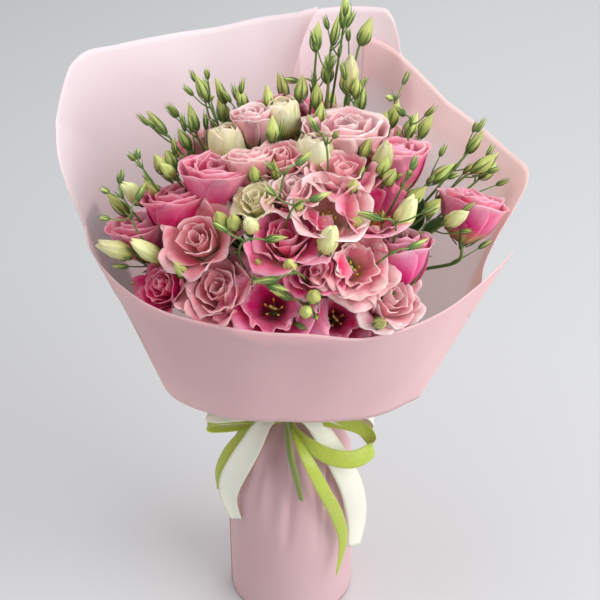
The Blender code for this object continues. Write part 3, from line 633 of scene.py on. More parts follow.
def twine_material():
    finish = Finish("binding_twine", {"Roughness": 0.85})
    fibre = finish.object_noise(1400.0, 3.0)
    return finish.done(finish.ramp(fibre, (0.3, (0.20, 0.15, 0.06)), (0.7, (0.50, 0.42, 0.22))))


# Each petal colour's throat, body, lighter end, rim, and blotches
PETAL_SHADES = {
    "pale": ((0.74, 0.66, 0.30), (0.96, 0.50, 0.52), (0.97, 0.64, 0.64),
             (0.98, 0.80, 0.76), (0.95, 0.32, 0.41)),
    "pink": ((0.66, 0.50, 0.18), (0.94, 0.22, 0.37), (0.96, 0.37, 0.50),
             (0.98, 0.55, 0.63), (0.90, 0.08, 0.22)),
    "hot": ((0.20, 0.03, 0.04), (0.94, 0.19, 0.36), (0.97, 0.36, 0.51),
            (0.98, 0.58, 0.67), (0.88, 0.09, 0.23)),
    "deep": ((0.085, 0.012, 0.012), (0.80, 0.085, 0.20), (0.91, 0.22, 0.34),
             (0.95, 0.44, 0.53), (0.62, 0.025, 0.09)),
    "dusty": ((0.60, 0.36, 0.16), (0.93, 0.38, 0.42), (0.95, 0.52, 0.54),
              (0.97, 0.68, 0.67), (0.87, 0.20, 0.28)),
    "peach": ((0.70, 0.54, 0.24), (0.95, 0.38, 0.43), (0.96, 0.53, 0.54),
              (0.98, 0.74, 0.68), (0.91, 0.22, 0.32)),
    "cream": ((0.52, 0.60, 0.16), (0.86, 0.82, 0.46), (0.92, 0.85, 0.58),
              (0.95, 0.78, 0.64), (0.82, 0.72, 0.32)),
}
PETALS = {name: petal_material("petal_" + name, *shades) for name, shades in PETAL_SHADES.items()}
STEM = green_material("stem_green", (0.085, 0.15, 0.035), (0.13, 0.22, 0.05), (0.19, 0.31, 0.07))
BUD = green_material("bud_green", (0.24, 0.36, 0.07), (0.56, 0.63, 0.18), (0.58, 0.60, 0.20))
PLUMP_BUD = green_material("bud_cream", (0.36, 0.46, 0.09), (0.74, 0.76, 0.32), (0.84, 0.80, 0.46))
LEAF = green_material("leaf_green", (0.06, 0.11, 0.035), (0.08, 0.15, 0.045), (0.10, 0.18, 0.05), 0.5)
ANTHER = green_material("anther_yellow", (0.45, 0.45, 0.08), (0.75, 0.58, 0.08), (0.80, 0.60, 0.10), 0.7)
PAPER = paper_material("pink_paper", (0.81, 0.41, 0.43), (0.86, 0.47, 0.485))
# The inside paper is a paler copy of the pink paper: painted light on the sheets' inner faces.
PAPER_INSIDE_LIT = paper_material("pink_paper_inside_lit", (0.86, 0.62, 0.655), (0.89, 0.67, 0.70))
# The right sheet's inside is paler still, painted light for the light through it from the right, and darkens
# to a painted shade in its hollow.
PAPER_RIGHT_LIT_AND_SHADED = paper_material("pink_paper_right_lit_and_shaded", (0.89, 0.72, 0.74), (0.92, 0.77, 0.79), (0.82, 0.50, 0.49))
CREAM = satin_material("cream_satin", (0.76, 0.75, 0.63), (0.82, 0.81, 0.71), (0.80, 0.78, 0.42))
LIME = satin_material("lime_satin", (0.33, 0.44, 0.035), (0.44, 0.54, 0.06), (0.58, 0.66, 0.14))
# The rolled end's satin is the lime satin darkened: painted shade.
SHADED_LIME = satin_material("shaded_rolled_lime_satin", (0.13, 0.19, 0.02), (0.22, 0.28, 0.035), (0.38, 0.44, 0.09))
TWINE = twine_material()


# Blooms

# Blooms that lean to another shade than their colour in the table
TINTS = {
    "bloom_centre": "pink", "bloom_front_deep": "hot",
    "bloom_rose_middle": "peach", "bloom_wide_top": "peach",
}
PETAL_WIDTH = (0.20, 0.60, 0.92, 1.0, 0.86)  # half width from the claw to the end, as a share

# Rings of like petals: how many, where they start, their middle line from claw to end as (share of radius,
# share of depth), and their width, bend, tip, ruffle, curl, waves and skew
WHORLS = {
    "cup": (  # a goblet that tapers to its foot, closed by petals folded in over its heart
        (4, 0.0, ((0.13, 0.0), (0.44, 0.16), (0.74, 0.44), (0.92, 0.76), (1.06, 0.98)),
         (1.04, 0.92, 0.16, 0.050, 0.10, 1.3, 0.25)),
        (4, 0.63, ((0.10, 0.0), (0.38, 0.20), (0.64, 0.50), (0.78, 0.82), (0.84, 1.04)),
         (0.95, 0.76, 0.18, 0.065, 0.06, 1.6, 0.35)),
        (4, 0.3, ((0.06, 0.05), (0.28, 0.28), (0.48, 0.58), (0.56, 0.88), (0.50, 1.06)),
         (0.78, 0.52, 0.16, 0.075, 0.04, 2.0, 0.6)),
        (3, 0.9, ((0.05, 0.10), (0.16, 0.35), (0.26, 0.62), (0.27, 0.88), (0.20, 1.04)),
         (0.50, 0.26, 0.12, 0.06, 0.02, 2.0, 0.8)),
    ),
    "open": (  # wide and ruffled, open down to its throat
        (5, 0.0, ((0.08, 0.0), (0.34, 0.38), (0.62, 0.64), (0.90, 0.74), (1.10, 0.68)),
         (0.80, 1.7, 0.17, 0.085, 0.02, 1.6, 0.0)),
        (5, 0.63, ((0.07, 0.0), (0.28, 0.38), (0.48, 0.68), (0.72, 0.88), (0.92, 0.92)),
         (0.68, 1.0, 0.15, 0.090, 0.03, 1.9, 0.1)),
        (4, 0.1, ((0.06, 0.02), (0.22, 0.38), (0.36, 0.68), (0.46, 0.92), (0.54, 1.08)),
         (0.50, 0.50, 0.13, 0.090, 0.04, 2.2, 0.3)),
    ),
    "funnel": (  # a single flower of five broad petals
        (5, 0.0, ((0.08, 0.0), (0.38, 0.30), (0.68, 0.58), (0.92, 0.84), (1.10, 1.0)),
         (0.92, 1.0, 0.15, 0.045, 0.12, 1.3, 0.15)),
        (2, 0.5, ((0.07, 0.0), (0.30, 0.30), (0.52, 0.56), (0.68, 0.78), (0.76, 0.92)),
         (0.60, 0.75, 0.13, 0.06, 0.06, 1.8, 0.15)),
    ),
    "opening": (  # egg-shaped, its petals still wound round each other
        (5, 0.0, ((0.24, 0.0), (0.86, 0.20), (1.0, 0.50), (0.92, 0.80), (0.66, 1.0)),
         (1.0, 0.90, 0.14, 0.045, 0.05, 1.2, 0.45)),
        (4, 0.5, ((0.18, 0.0), (0.70, 0.25), (0.82, 0.55), (0.66, 0.84), (0.36, 1.00)),
         (0.80, 0.66, 0.12, 0.05, 0.02, 1.4, 0.7)),
        (3, 0.2, ((0.10, 0.1), (0.40, 0.3), (0.50, 0.6), (0.36, 0.86), (0.12, 0.98)),
         (0.55, 0.36, 0.08, 0.04, 0.0, 1.4, 1.0)),
    ),
}


def whorled(kind, rng):
    """Each petal's middle line, turn and shape, every petal a little different."""
    rows = []
    for count, start, profile, shape in WHORLS[kind]:
        for k in range(count):
            turn = start + 2 * math.pi * k / count + rng.uniform(-0.12, 0.12)
            size = (rng.uniform(0.94, 1.05), rng.uniform(0.96, 1.03))
            rows.append((np.array(profile) * size, turn, shape))
    return rows


def wound_up(rng):
    """The same for a rosette: broad frilled petals, from a furled heart out to a drooping rim."""
    rows = []
    count = int(rng.integers(11, 15))
    for k in range(count):
        t = (k / (count - 1)) ** 0.9
        reach = 0.13 + 0.90 * t + rng.uniform(-0.07, 0.07)
        top = 1.0 - 0.30 * t ** 2 + rng.uniform(-0.07, 0.07)
        profile = (
            (0.05 + 0.05 * t, 0.12 * (1 - t)), (0.42 * reach, 0.30), (0.72 * reach, 0.60 - 0.04 * t),
            (0.94 * reach, 0.88 * top + 0.02), (reach * (0.90 + 0.26 * t), top),
        )
        turn = GOLDEN_ANGLE * k + rng.uniform(-0.2, 0.2)
        waves = 1.5 + 0.5 * rng.uniform(-1, 1)
        bend = max(0.14, 0.88 * reach)
        shape = (0.38 + 0.52 * t, bend, 0.13, 0.04 + 0.05 * t, 0.03 + 0.10 * t, waves, 0.6 * (1 - t))
        rows.append((profile, turn, shape))
    return rows


def petal(profile, radius, depth, turn, shape, rng):
    """One petal's grid of points in its flower's frame, whose z is the flower's axis.

    Its middle line is the profile. It is bent about the axis with radius bend, rounded off by tip, ruffled
    towards its edge, curled outwards at its end, and wound round the axis by skew.
    """
    width, bend, tip, ruffle, curl, waves, skew = shape
    v = np.linspace(0, 1, PETAL_ROWS)[:, None]
    u = np.linspace(-1, 1, PETAL_COLUMNS)[None, :]
    phase = rng.uniform(0, 2 * math.pi, 5)
    frill = 0.5 * np.sin(4.3 * u + phase[0]) + 0.5 * np.sin(7.9 * u + phase[1])
    s = v * (1 - tip * np.abs(u) ** 2.5 - 0.5 * ruffle * (1 + frill))
    size = np.array([radius, depth])
    middle = smooth(profile, s) * size
    ahead = (smooth(profile, s + 0.03) - smooth(profile, s - 0.03)) * size
    ahead /= np.linalg.norm(ahead, axis=2)[..., None] + 1e-9
    arc = np.clip(u * width * smooth(PETAL_WIDTH, s) / bend, -2.6, 2.6)
    side, inward = bend * radius * np.sin(arc), bend * radius * (1 - np.cos(arc))
    edge = np.clip((s - 0.35) / 0.65, 0, 1) ** 1.5
    round_edge = waves * math.pi * u
    wave = np.sin(round_edge + phase[2] + 1.5 * s) + 0.5 * np.sin(2.3 * round_edge + phase[3])
    flutter = np.abs(u) ** 4 * s * np.sin(9 * s + phase[4])
    rolled = np.clip((s - 0.65) / 0.35, 0, 1) ** 2 + 0.5 * s * np.abs(u) ** 4
    lift = radius * (ruffle * (edge * wave + flutter) + curl * rolled) - inward
    out, rise = middle[..., 0] + ahead[..., 1] * lift, middle[..., 1] - ahead[..., 0] * lift
    cosine, sine = np.cos(turn + skew * s), np.sin(turn + skew * s)
    return np.stack([out * cosine - side * sine, out * sine + side * cosine, rise], 2)


def head(name, settled):
    """Where a bloom's foot is and which way its mouth faces: up from its stem's way, and a little aside."""
    way, reach = settled[name]
    depth, kind = BLOOMS[name][5] / 1000, BLOOMS[name][7]
    aside = Vector(seeded(name + "_head").uniform(-0.13, 0.13, 3))
    face = (way * (1 - UPRIGHT[kind]) + Vector((0, 0.22, 1)) * UPRIGHT[kind] + aside).normalized()
    middle = FAN + way * (reach - depth / 2)
    return np.array(middle - face * depth / 2), np.array(face)


def kept_inside(points):
    """Petals pressed in where they would cross the papers round them."""
    heading = np.degrees(np.arctan2(points[..., 0], -points[..., 1]))
    height = points[..., 2]
    low, high = (np.interp(heading, BAND_HEADINGS, radii) for radii in (BAND_LOW_RADII, BAND_HIGH_RADII))
    band = low + (high - low) * (height - BAND_LOW) / (BAND_HIGH - BAND_LOW)
    rim = np.interp(heading, *zip(*BAND_RIM))
    banded = (heading > BAND_RIM[0][0]) & (heading < BAND_RIM[-1][0])
    limit = np.where(banded, band + 2.0 * np.maximum(0.0, height - rim), 1.0)
    collar = np.full(heading.shape, 1.0)
    levels = [row[0] for row in COLLAR]
    for k, (start, end) in enumerate(zip(COLLAR_HEADINGS, COLLAR_HEADINGS[1:])):
        share = (heading - start) / (end - start)
        low, high = (np.interp(height, levels, [row[1][n] for row in COLLAR]) for n in (k, k + 1))
        collar = np.where((share >= 0) & (share <= 1), low + (high - low) * share, collar)
    collar = np.where(np.abs(heading) > COLLAR_FRONT, collar, 1.0)
    limit = np.minimum(limit, collar) - PETAL_CLEARANCE
    flat = np.hypot(points[..., 0], points[..., 1])
    points[..., :2] *= np.minimum(1.0, limit / np.maximum(flat, 1e-6))[..., None]
    return points


def bloom(name, settled):
    """A bloom's petals, and its stamens where it is open enough to show them."""
    *_, radius, depth, colour, kind = BLOOMS[name]
    radius, depth = radius / 1000 * SPREAD[kind], depth / 1000
    rng = seeded(name)
    foot, face = head(name, settled)
    turned = basis(face, rng.uniform(0, 2 * math.pi))
    squeeze = np.array([rng.uniform(0.90, 1.06), rng.uniform(0.96, 1.08), 1.0])
    piece = Piece(name.replace("bloom", "petals"))
    for profile, turn, shape in wound_up(rng) if kind == "rosette" else whorled(kind, rng):
        points = petal(profile, radius, depth, turn, shape, rng) * squeeze
        piece.grid(kept_inside(points @ turned + foot))
    finish = PETALS[TINTS.get(name, colour)]
    piece.make([finish], node=name, thickness=PETAL_THICKNESS)
    if kind in ("open", "funnel"):
        stamens(name, turned, foot, radius, depth, rng)


def stamens(name, turned, foot, radius, depth, rng):
    """Five anthers round a two-lobed stigma, down in the throat."""
    piece = Piece(name.replace("bloom", "stamens"))

    def thread(angle, places, radii, slot):
        way = np.array([math.cos(angle) * radius, math.sin(angle) * radius, 0.0])
        path = [(way * out + (0, 0, up * depth)) @ turned + foot for out, up in places]
        tube(piece, path, radii, slot, sides=6)

    for k in range(5):
        angle = 2 * math.pi * k / 5 + rng.uniform(-0.2, 0.2)
        places = ((0.05, 0.1), (0.10, 0.35), (0.15, 0.50), (0.17, 0.55), (0.19, 0.62))
        thread(angle, places, (0.0004, 0.0004, 0.0004, 0.0011, 0.0008), 0)
    for angle in (math.pi, 0.0):
        places = ((0.01, 0.1), (0.01, 0.50), (0.03, 0.60), (0.08, 0.66))
        thread(angle, places, (0.0009, 0.0009, 0.0013, 0.0009), 1)
    piece.make([ANTHER, BUD])


# Sprays: stems, branches, buds, sepals, bracts and leaves

# How far the sepals lie from the axis on their way up, as a share of the radius
BUD_FLANK = (0.32, 0.82, 1.0, 0.98, 0.82, 0.50, 0.10)
BLOOM_FLANK = (0.14, 0.34, 0.46, 0.57, 0.66, 0.74, 0.80)
SEPAL_WIDTHS = np.array([0.75, 0.95, 1.0, 0.92, 0.76, 0.58, 0.38, 0.20, 0.03])
BRACT_WIDTHS = np.array([0.6, 0.95, 1.0, 0.95, 0.8, 0.58, 0.30, 0.03])
YOUNG_RADIUS = 0.0019
SHOOT_BUD_RADIUS = 0.0026
TALL_SHOOT = 0.275  # shoots that reach further carry a young bud too


def sepals(piece, foot, axis, length, radius, free, rng, flank=BUD_FLANK, width=0.0023):
    """Five narrow pointed sepals up the flank of a bud or bloom, their last part standing free of it."""
    turned = basis(axis, rng.uniform(0, ANY_TURN))
    for k in range(5):
        angle = 2 * math.pi * k / 5 + rng.uniform(-0.1, 0.1)
        out = np.array([math.cos(angle), math.sin(angle), 0.0]) @ turned
        stretch = length * rng.uniform(0.86, 1.06)
        loose = free * rng.uniform(0.3, 1.0)
        t = np.linspace(0, 1, len(SEPAL_WIDTHS))
        hug = smooth(flank, t * stretch / length) * radius + 0.0004
        lift = hug + loose * length * np.clip(t - 0.45, 0, 1) ** 2
        path = foot + np.outer(stretch * t, turned[2]) + np.outer(lift, out)
        blade(piece, path, out, width * SEPAL_WIDTHS, thick=0.0005, keel=-0.25)


def bud(piece, foot, axis, length, radius, rng, plump=False):
    """A furled bud: five petals wound into a spindle, pointed or just opening, with its sepals."""
    turned = basis(axis, rng.uniform(0, ANY_TURN))
    t = np.linspace(0, 1, 16)[:, None]
    angle = round_angles(20)[None, :]
    blunt, lean = rng.uniform(0.2, 1.0), rng.uniform(-0.12, 0.12)
    outline = (0.34, 0.74, 0.94, 0.92, 0.72, 0.38, 0.03)
    if plump:
        outline = (0.34, 0.80, 0.97, 1.0, 0.92 - 0.06 * blunt, 0.62 + 0.14 * blunt, 0.10 + 0.35 * blunt)
    furrow = 0.92 + 0.16 * np.abs(np.cos(2.5 * (angle - 2.2 * t))) * np.sin(math.pi * np.sqrt(t))
    r = radius * smooth(outline, t[:, 0])[:, None] * furrow
    rise = length * t * (1 + (0.05 if plump else 0.0) * np.cos(2.5 * (angle - 2.2)) * t ** 4)
    points = np.stack([r * np.cos(angle) + lean * length * t ** 2, r * np.sin(angle), rise], 2)
    # The mouth is drawn in to a point, and sunk where the bud is opening
    middle = points[-1:].mean(axis=1, keepdims=True)
    mouth = middle + (points[-1:] - middle) * 0.03 - (0, 0, 0.05 * length * plump)
    piece.grid(np.concatenate([points, mouth]) @ turned + foot, 2 if plump else 1, closed=True)
    low = foot - turned[2] * 0.0012
    if plump:
        sepals(piece, low, axis, length * rng.uniform(0.45, 0.66), radius, 0.05, rng, width=0.0026)
    else:
        sepals(piece, low, axis, length * rng.uniform(0.74, 1.02), radius, 0.14, rng)


def young_bud(piece, start, way, aside, rng):
    """A slender green bud on a short thin side branch."""
    length = rng.uniform(0.011, 0.017)
    reach = rng.uniform(0.018, 0.030)
    steps = ((0, 0), (0.35, 0.30), (0.9, 0.55))
    knots = [start + (way * ahead + aside * out) * reach for ahead, out in steps]
    path = stalk(piece, knots, 0.0008, 0.0006, 10, sides=6)
    axis = normalised(path[-1] - path[-2])
    t = np.linspace(0, 1, 9)
    radii = YOUNG_RADIUS * smooth((0.4, 0.9, 1.0, 0.7, 0.05), t)
    tube(piece, path[-1] + np.outer(t * length, axis), radii, 1, sides=7)
    sepals(piece, path[-1], axis, length * 1.15, YOUNG_RADIUS, 0.55, rng, width=0.0016)


def shoot(piece, heading, tilt, reach, lean, rng):
    """A thin shoot that comes up between the blooms and arches aside, with a slender bud at its end."""
    way, east = np.array(unit(heading, tilt)), np.array(unit(heading + 90))
    aside = east * math.cos(lean) + np.cross(way, east) * math.sin(lean)
    top = np.array(FOCUS) + way * reach
    span = rng.uniform(0.018, 0.026)
    steps = ((-0.075, 0), (-0.040, -0.004), (-0.012, 0.001), (0, span * 0.5), (-0.002, span))
    knots = [top + way * ahead + aside * out for ahead, out in steps]
    path = stalk(piece, knots, 0.0011, 0.0007, 26)
    axis = normalised(path[-1] - path[-3]) + (0, 0, 0.35)
    bud(piece, path[-1], axis, rng.uniform(0.015, 0.021), SHOOT_BUD_RADIUS, rng)
    bracts(piece, path[15], way + aside * 0.5, rng.uniform(0.009, 0.014), rng)
    if reach > TALL_SHOOT:
        young_bud(piece, path[16], way * 0.8, -aside, rng)


def bracts(piece, place, axis, length, rng):
    """A pair of small pointed leaves where a branch begins."""
    turned = basis(axis, rng.uniform(0, ANY_TURN))
    t = np.linspace(0, 1, len(BRACT_WIDTHS))
    for sign in (-1, 1):
        out = turned[0] * sign
        path = place + np.outer(t * length * 0.9, turned[2]) + np.outer(length * 0.45 * t ** 1.3, out)
        blade(piece, path, out - turned[2] * 0.3, length * 0.20 * BRACT_WIDTHS, keel=0.35)


def leaf(piece, place, axis, out, length, rng):
    """A pointed oval leaf that arches out from the stem."""
    width = length * rng.uniform(0.30, 0.38)
    bow = rng.uniform(0.25, 0.6)
    t = np.linspace(0, 1, 12)
    path = place + np.outer(t * length * (1 - 0.25 * t), axis) + np.outer(length * bow * t ** 1.8, out)
    blade(piece, path, out - axis * 0.4, width * smooth((0.12, 0.70, 1.0, 0.92, 0.60, 0.03), t), 3, keel=0.3)


def branch(piece, spray_name, item, fork, fork_way, settled, rng):
    """A thin branch from the fork to one bloom or bud, with what grows beside it."""
    way, reach = settled[item]
    axis = np.array(way)
    in_bloom = item in BLOOMS
    if in_bloom:
        radius, depth = BLOOMS[item][4] / 1000 * SPREAD[BLOOMS[item][7]], BLOOMS[item][5] / 1000
        foot, face = head(item, settled)
    else:
        length, radius = (value / 1000 for value in BUDS[spray_name][int(item.rsplit("_", 1)[1])][3:])
        face = normalised(axis + rng.uniform(-0.16, 0.16, 3))
        foot = np.array(FAN) + axis * reach - face * length
    via = np.array(FAN) + axis * VIA_REACH
    sway = basis(axis, rng.uniform(0, ANY_TURN))[0] * rng.uniform(0.002, 0.006)
    neck = foot - face * (0.018 if in_bloom else 0.012)
    knots = [fork - fork_way * 0.004, via + sway, (via + neck) / 2 - sway * 0.8, neck, foot]
    path = stalk(piece, knots, 0.0015, 0.0016 if in_bloom else 0.0010, 24)
    if in_bloom:
        receptacle = foot + np.outer((-NECK, -0.004, -0.001, 0.002, 0.004), face)
        tube(piece, receptacle, (0.0016, 0.0024, 0.0034, 0.0038, 0.0030))
        sepals(piece, foot - face * 0.003, face, depth * 0.60, radius, 0.10, rng, BLOOM_FLANK, 0.0034)
    else:
        bud(piece, foot, face, length, radius, rng, plump=radius >= PLUMP_RADIUS)
    if np.linalg.norm(foot - via) <= LONG_BRANCH:
        return
    k = int(rng.integers(12, 17))
    aside = basis(axis, rng.uniform(0, ANY_TURN))[0]
    bracts(piece, path[k], axis, rng.uniform(0.010, 0.017), rng)
    for turn in range(1 if in_bloom else YOUNG_BUDS.get(spray_name, 1)):
        spun = aside * math.cos(1.9 * turn) + np.cross(axis, aside) * math.sin(1.9 * turn)
        young_bud(piece, path[k + 2 * turn], axis, spun, rng)


def spray(name, fork_way, spot, settled):
    """One stem from its cut end up to its fork, with its branches, shoots and leaves."""
    rng = seeded(name)
    piece = Piece(name + "_spray")
    way = np.array(fork_way)
    fork = np.array(FAN) + way * FORK_REACH
    knots = [np.array(along_spiral(spot, height)) for height in (0.0, 0.115, 0.205, 0.245)] + [fork]
    stalk(piece, knots, 0.0022, 0.0017, 26, sides=8)
    for item in members(name):
        branch(piece, name, item, fork, way, settled, rng)
    for spray_name, heading, tilt, reach, lean in SHOOTS:
        if spray_name == name:
            shoot(piece, heading, tilt, reach / 1000, math.radians(lean), rng)
    for reach in (0.10, 0.13, 0.16):
        turned = basis(way, rng.uniform(0, ANY_TURN))
        for out in (-turned[0], turned[0]):
            place = np.array(FAN) + way * reach + out * 0.006
            leaf(piece, place, turned[2], out, rng.uniform(0.040, 0.055), rng)
    piece.make([STEM, BUD, PLUMP_BUD, LEAF], node=name + "_stem")


# Paper


def centre_x(height):
    """How far left the sheets' middle stands: at the binding by TIE_X, at the head not at all."""
    return TIE_X * (1 - clamp((height - TIE_HEIGHT) / (HEAD_HEIGHT - TIE_HEIGHT)))


def band_radius(heading, height):
    low = curve_value(BAND_HEADINGS, BAND_LOW_RADII, heading)
    high = curve_value(BAND_HEADINGS, BAND_HIGH_RADII, heading)
    return low + (high - low) * (height - BAND_LOW) / (BAND_HIGH - BAND_LOW)


def collar_radius(heading, height):
    levels = [row[0] for row in COLLAR]
    radii = [curve_value(levels, column, height) for column in zip(*(row[1] for row in COLLAR))]
    return curve_value(COLLAR_HEADINGS, radii, heading)


def collar_point(heading, height, layer):
    """A point of a gathered sheet, which lies inside the band wherever the band would cut it."""
    turned = (heading + 180) % 360 - 180
    loose = 1 + LAYER_SPREAD * max(0.0, height - 0.24)
    wave = 0.0008 * max(0.0, 1 - abs(height - 0.258) / 0.022) * ripple(14, heading)
    pleat = 0.0022 * hill(height, 0.285, 0.03) * ripple(11, heading)
    radius = collar_radius(turned, height) + layer * loose + wave + pleat
    inside = band_radius(clamp(turned, BAND_HEADINGS[0], BAND_HEADINGS[-1]), height) - LAP_GAP
    return unit(heading) * min(radius, inside - abs(centre_x(height))) + Vector((centre_x(height), 0, height))


def rim_curve(rim, share):
    """(heading, height) at a share of the way along a sheet's free edge."""
    steps = [math.hypot((b[0] - a[0]) * 0.0035, b[1] - a[1]) for a, b in zip(rim, rim[1:])]
    marks = [sum(steps[:k]) / sum(steps) for k in range(len(rim))]
    return tuple(curve_value(marks, values, share) for values in zip(*rim))


def paper_piece(name, columns, rows, place, inside=PAPER_INSIDE_LIT):
    """A sheet through place(share along, share up or down), its inner face a paler copy of the pink paper,
    painted light, and its pinker side out.
    """
    piece = Piece(name + "_sheet")
    points = np.array([
        [tuple(place(i / columns, k / rows)) for k in range(rows + 1)] for i in range(columns + 1)
    ])
    i, j = (columns + 1) // 2, (rows + 1) // 2
    facing = np.cross(points[i, j + 1] - points[i, j], points[i + 1, j] - points[i, j])
    outward = facing @ (points[i, j] * (1, 1, 0)) > 0
    piece.grid(points[::-1] if outward else points)
    made = piece.make([inside, PAPER], node=name, thickness=PAPER_THICKNESS)
    made.modifiers["thickness"].material_offset = 1
    made.modifiers["thickness"].material_offset_rim = 1


def gathered_sheet(name, rim, feet, layer, columns, curl, inside=PAPER_INSIDE_LIT):
    """A sheet from the binding up to its free edge, softly creased, its edge rolled outward by curl."""
    rng = seeded(name)
    creases = [(rng.uniform(-190, 190), rng.uniform(3, 7), rng.uniform(-0.0022, 0.0022)) for _ in range(26)]

    def place(share, up):
        foot = feet[0] + (feet[1] - feet[0]) * share
        top_heading, top = rim_curve(rim, share)
        height = SHEET_FOOT + (top - SHEET_FOOT) * up
        heading = foot + (top_heading - foot) * (1 - (1 - up) ** 2)
        out = sum(depth * hill(heading, middle, wide) for middle, wide, depth in creases)
        # The last eighth of the way up rolls outward, and the sheet is smooth where it is gathered
        out += curl * max(0.0, (up - 0.88) / 0.12) ** 2
        return collar_point(heading, height, layer) + unit(heading) * out * clamp((height - 0.30) / 0.15)

    paper_piece(name, columns, 56, place, inside)


def front_band():
    """The loose band round the front, from its hem up to its rim."""
    def place(share, up):
        (low_heading, low), (high_heading, high) = rim_curve(BAND_HEM, share), rim_curve(BAND_RIM, share)
        heading = low_heading + (high_heading - low_heading) * up
        height = low + (high - low) * up
        sway = math.sin(0.085 * heading + 30 * height) + 0.6 * math.sin(0.21 * heading - 24 * height + 1)
        radius = band_radius(heading, height) + 0.0011 * (sway + 0.6 * up ** 6)
        return unit(heading) * radius + Vector((0, 0, height))

    paper_piece("paper_front", 110, 26, place)


def skirt():
    """The sheet wrapped round the stems below the tie, lapped over itself, with folds running down it."""
    rng = seeded("skirt")
    folds = []
    for heading in range(-110, 280, 13):
        middle, wide = heading + rng.uniform(-6, 6), rng.uniform(3.0, 7.0)
        depth = rng.choice((-1.6, -1.6, 0.9)) * rng.uniform(0.0020, 0.0042)
        folds.append((middle, wide, depth, rng.uniform(0.07, 0.15), rng.uniform(-140, 140)))
    heights, radii = zip(*SKIRT)

    def place(share, down):
        heading = -108.0 + 385.0 * share
        height = SKIRT_TOP * (1 - down ** 1.4)
        radius = curve_value(heights, radii, height) + LAP * max(0.0, (share - 0.5) * 2)
        # Nine even pleats at the shoulder, then the folds, which slant and fade in above their low ends
        radius += 0.0042 * hill(height, 0.194, 0.018) * ripple(9, heading)
        for middle, wide, depth, low, slant in folds:
            fade = clamp((height - low) / 0.06) * clamp((0.212 - height) / 0.02)
            radius += depth * fade * hill(heading + slant * (0.2 - height), middle, wide)
        return unit(heading) * radius + Vector((TIE_X, 0, height))

    paper_piece("paper_skirt", 300, 70, place)


# Ribbons and binding

# Each ribbon's strips: points and widths in mm, the way the width lies, how hollow it is, and its finish
CREAM_STRIPS = (
    (  # the left loop
        ((-14, -29, 233), (-45, -40, 243), (-80, -40, 244), (-90, -38, 238), (-80, -36, 232), (-45, -34, 233),
         (-14, -27, 231)),
        (8, 16, 18, 16, 8), (0, 1, 0.2), 0.12, 0,
    ),
    (  # the right loop
        ((-10, -29, 233), (25, -40, 243), (60, -34, 240), (70, -31, 228), (60, -29, 219), (30, -30, 229),
         (-10, -27, 231)),
        (8, 18, 20, 18, 8), (0, 1, 0.5), 0.12, 0,
    ),
    (  # the left tail
        ((-16, -28, 232), (-34, -48, 232), (-48, -54, 209), (-62, -49, 178), (-70, -42, 153), (-71, -40, 134),
         (-64, -43, 112)),
        (8, 20, 24, 21, 13), (1, -0.5, 0.15), -0.16, 0,
    ),
    (  # the right tail
        ((-8, -28, 231), (14, -37, 224), (32, -45, 197), (50, -44, 155), (57, -39, 112), (55, -43, 78)),
        (8, 20, 24, 24, 14), (1, 0.5, 0), 0.12, 0,
    ),
)
LIME_STRIPS = (
    (  # the left loop
        ((-14, -29, 224), (-48, -34, 227), (-82, -36, 227), (-90, -36, 222), (-82, -35, 217), (-48, -33, 219),
         (-14, -27, 223)),
        (6, 10, 11, 10, 6), (0, 1, 0.2), 0.12, 0,
    ),
    (  # the right loop
        ((-11, -29, 222), (6, -58, 218), (30, -67, 207), (54, -64, 203), (69, -52, 208), (60, -40, 220),
         (30, -36, 225), (-10, -29, 225)),
        (6, 13, 17, 17, 14, 10, 6), (0, 0.45, 1), 0.12, 0,
    ),
    (  # the left tail
        ((-17, -29, 223), (-44, -40, 222), (-65, -40, 200), (-78, -36, 168), (-79, -34, 142)),
        (6, 10, 12, 9), (1, -0.5, 0), 0.12, 0,
    ),
    (  # the right tail
        ((-9, -29, 222), (-1, -56, 217), (10, -71, 200), (24, -72, 168), (37, -62, 130), (43, -57, 95),
         (37, -62, 56)),
        (6, 11, 13, 12, 2), (1, 0.5, 0), 0.12, 0,
    ),
    # The rolled end takes the darker lime, painted shade.
    (  # the rolled-up third end
        ((-13, -29, 222), (-12, -50, 221), (-9, -66, 207), (-4, -70, 185), (1, -70, 159)),
        (5, 6, 6.5, 5), (1, 0.5, 0), 1.7, 1,
    ),
)


def strip(piece, points, widths, width_way, cup, slot):
    """A ribbon along the points, lying as near as it can along width_way from edge to edge; its length."""
    share = np.linspace(0, 1, 10 * (len(points) - 1) + 1)
    path = smooth(points, share) / 1000
    half = smooth(widths, share)[:, None, None] / 2000
    ahead = normalised(np.gradient(path, axis=0))
    across = normalised(np.array(width_way, float) - ahead * (ahead @ width_way)[:, None])
    normal = np.cross(ahead, across)[:, None]
    u = np.linspace(-1, 1, 9)[None, :, None]
    piece.grid(path[:, None] + (across[:, None] * u + normal * cup * (1 - u ** 2)) * half, slot)
    return float(np.linalg.norm(np.diff(path, axis=0), axis=1).sum())


def wound(piece, low, high, radius):
    """The ribbon's turn round the gathered paper; its length."""
    way = np.array([tuple(unit(360 * k / 72)) for k in range(73)])[:, None]
    share = np.linspace(0, 1, 5)[:, None]
    bulge = np.array((0.0003, 0.0008, 0.0009, 0.0008, 0.0003))[:, None]
    piece.grid(way * (radius + bulge) + (TIE_X, 0, low) + share * (0, 0, high - low))
    return 2 * math.pi * radius


def knot(piece, centre, width, size):
    """The ribbon's tight turn over the loops; its length."""
    share = np.linspace(-1, 1, 9)[None, :]
    angle = np.linspace(0, 2 * math.pi, 25)[:, None]
    pinch = 1 - 0.35 * share ** 2
    rows = (width * share / 2 + 0 * angle, size[0] * pinch * np.cos(angle), size[1] * pinch * np.sin(angle))
    piece.grid(np.stack(rows, 2) + centre)
    return math.pi * sum(size)


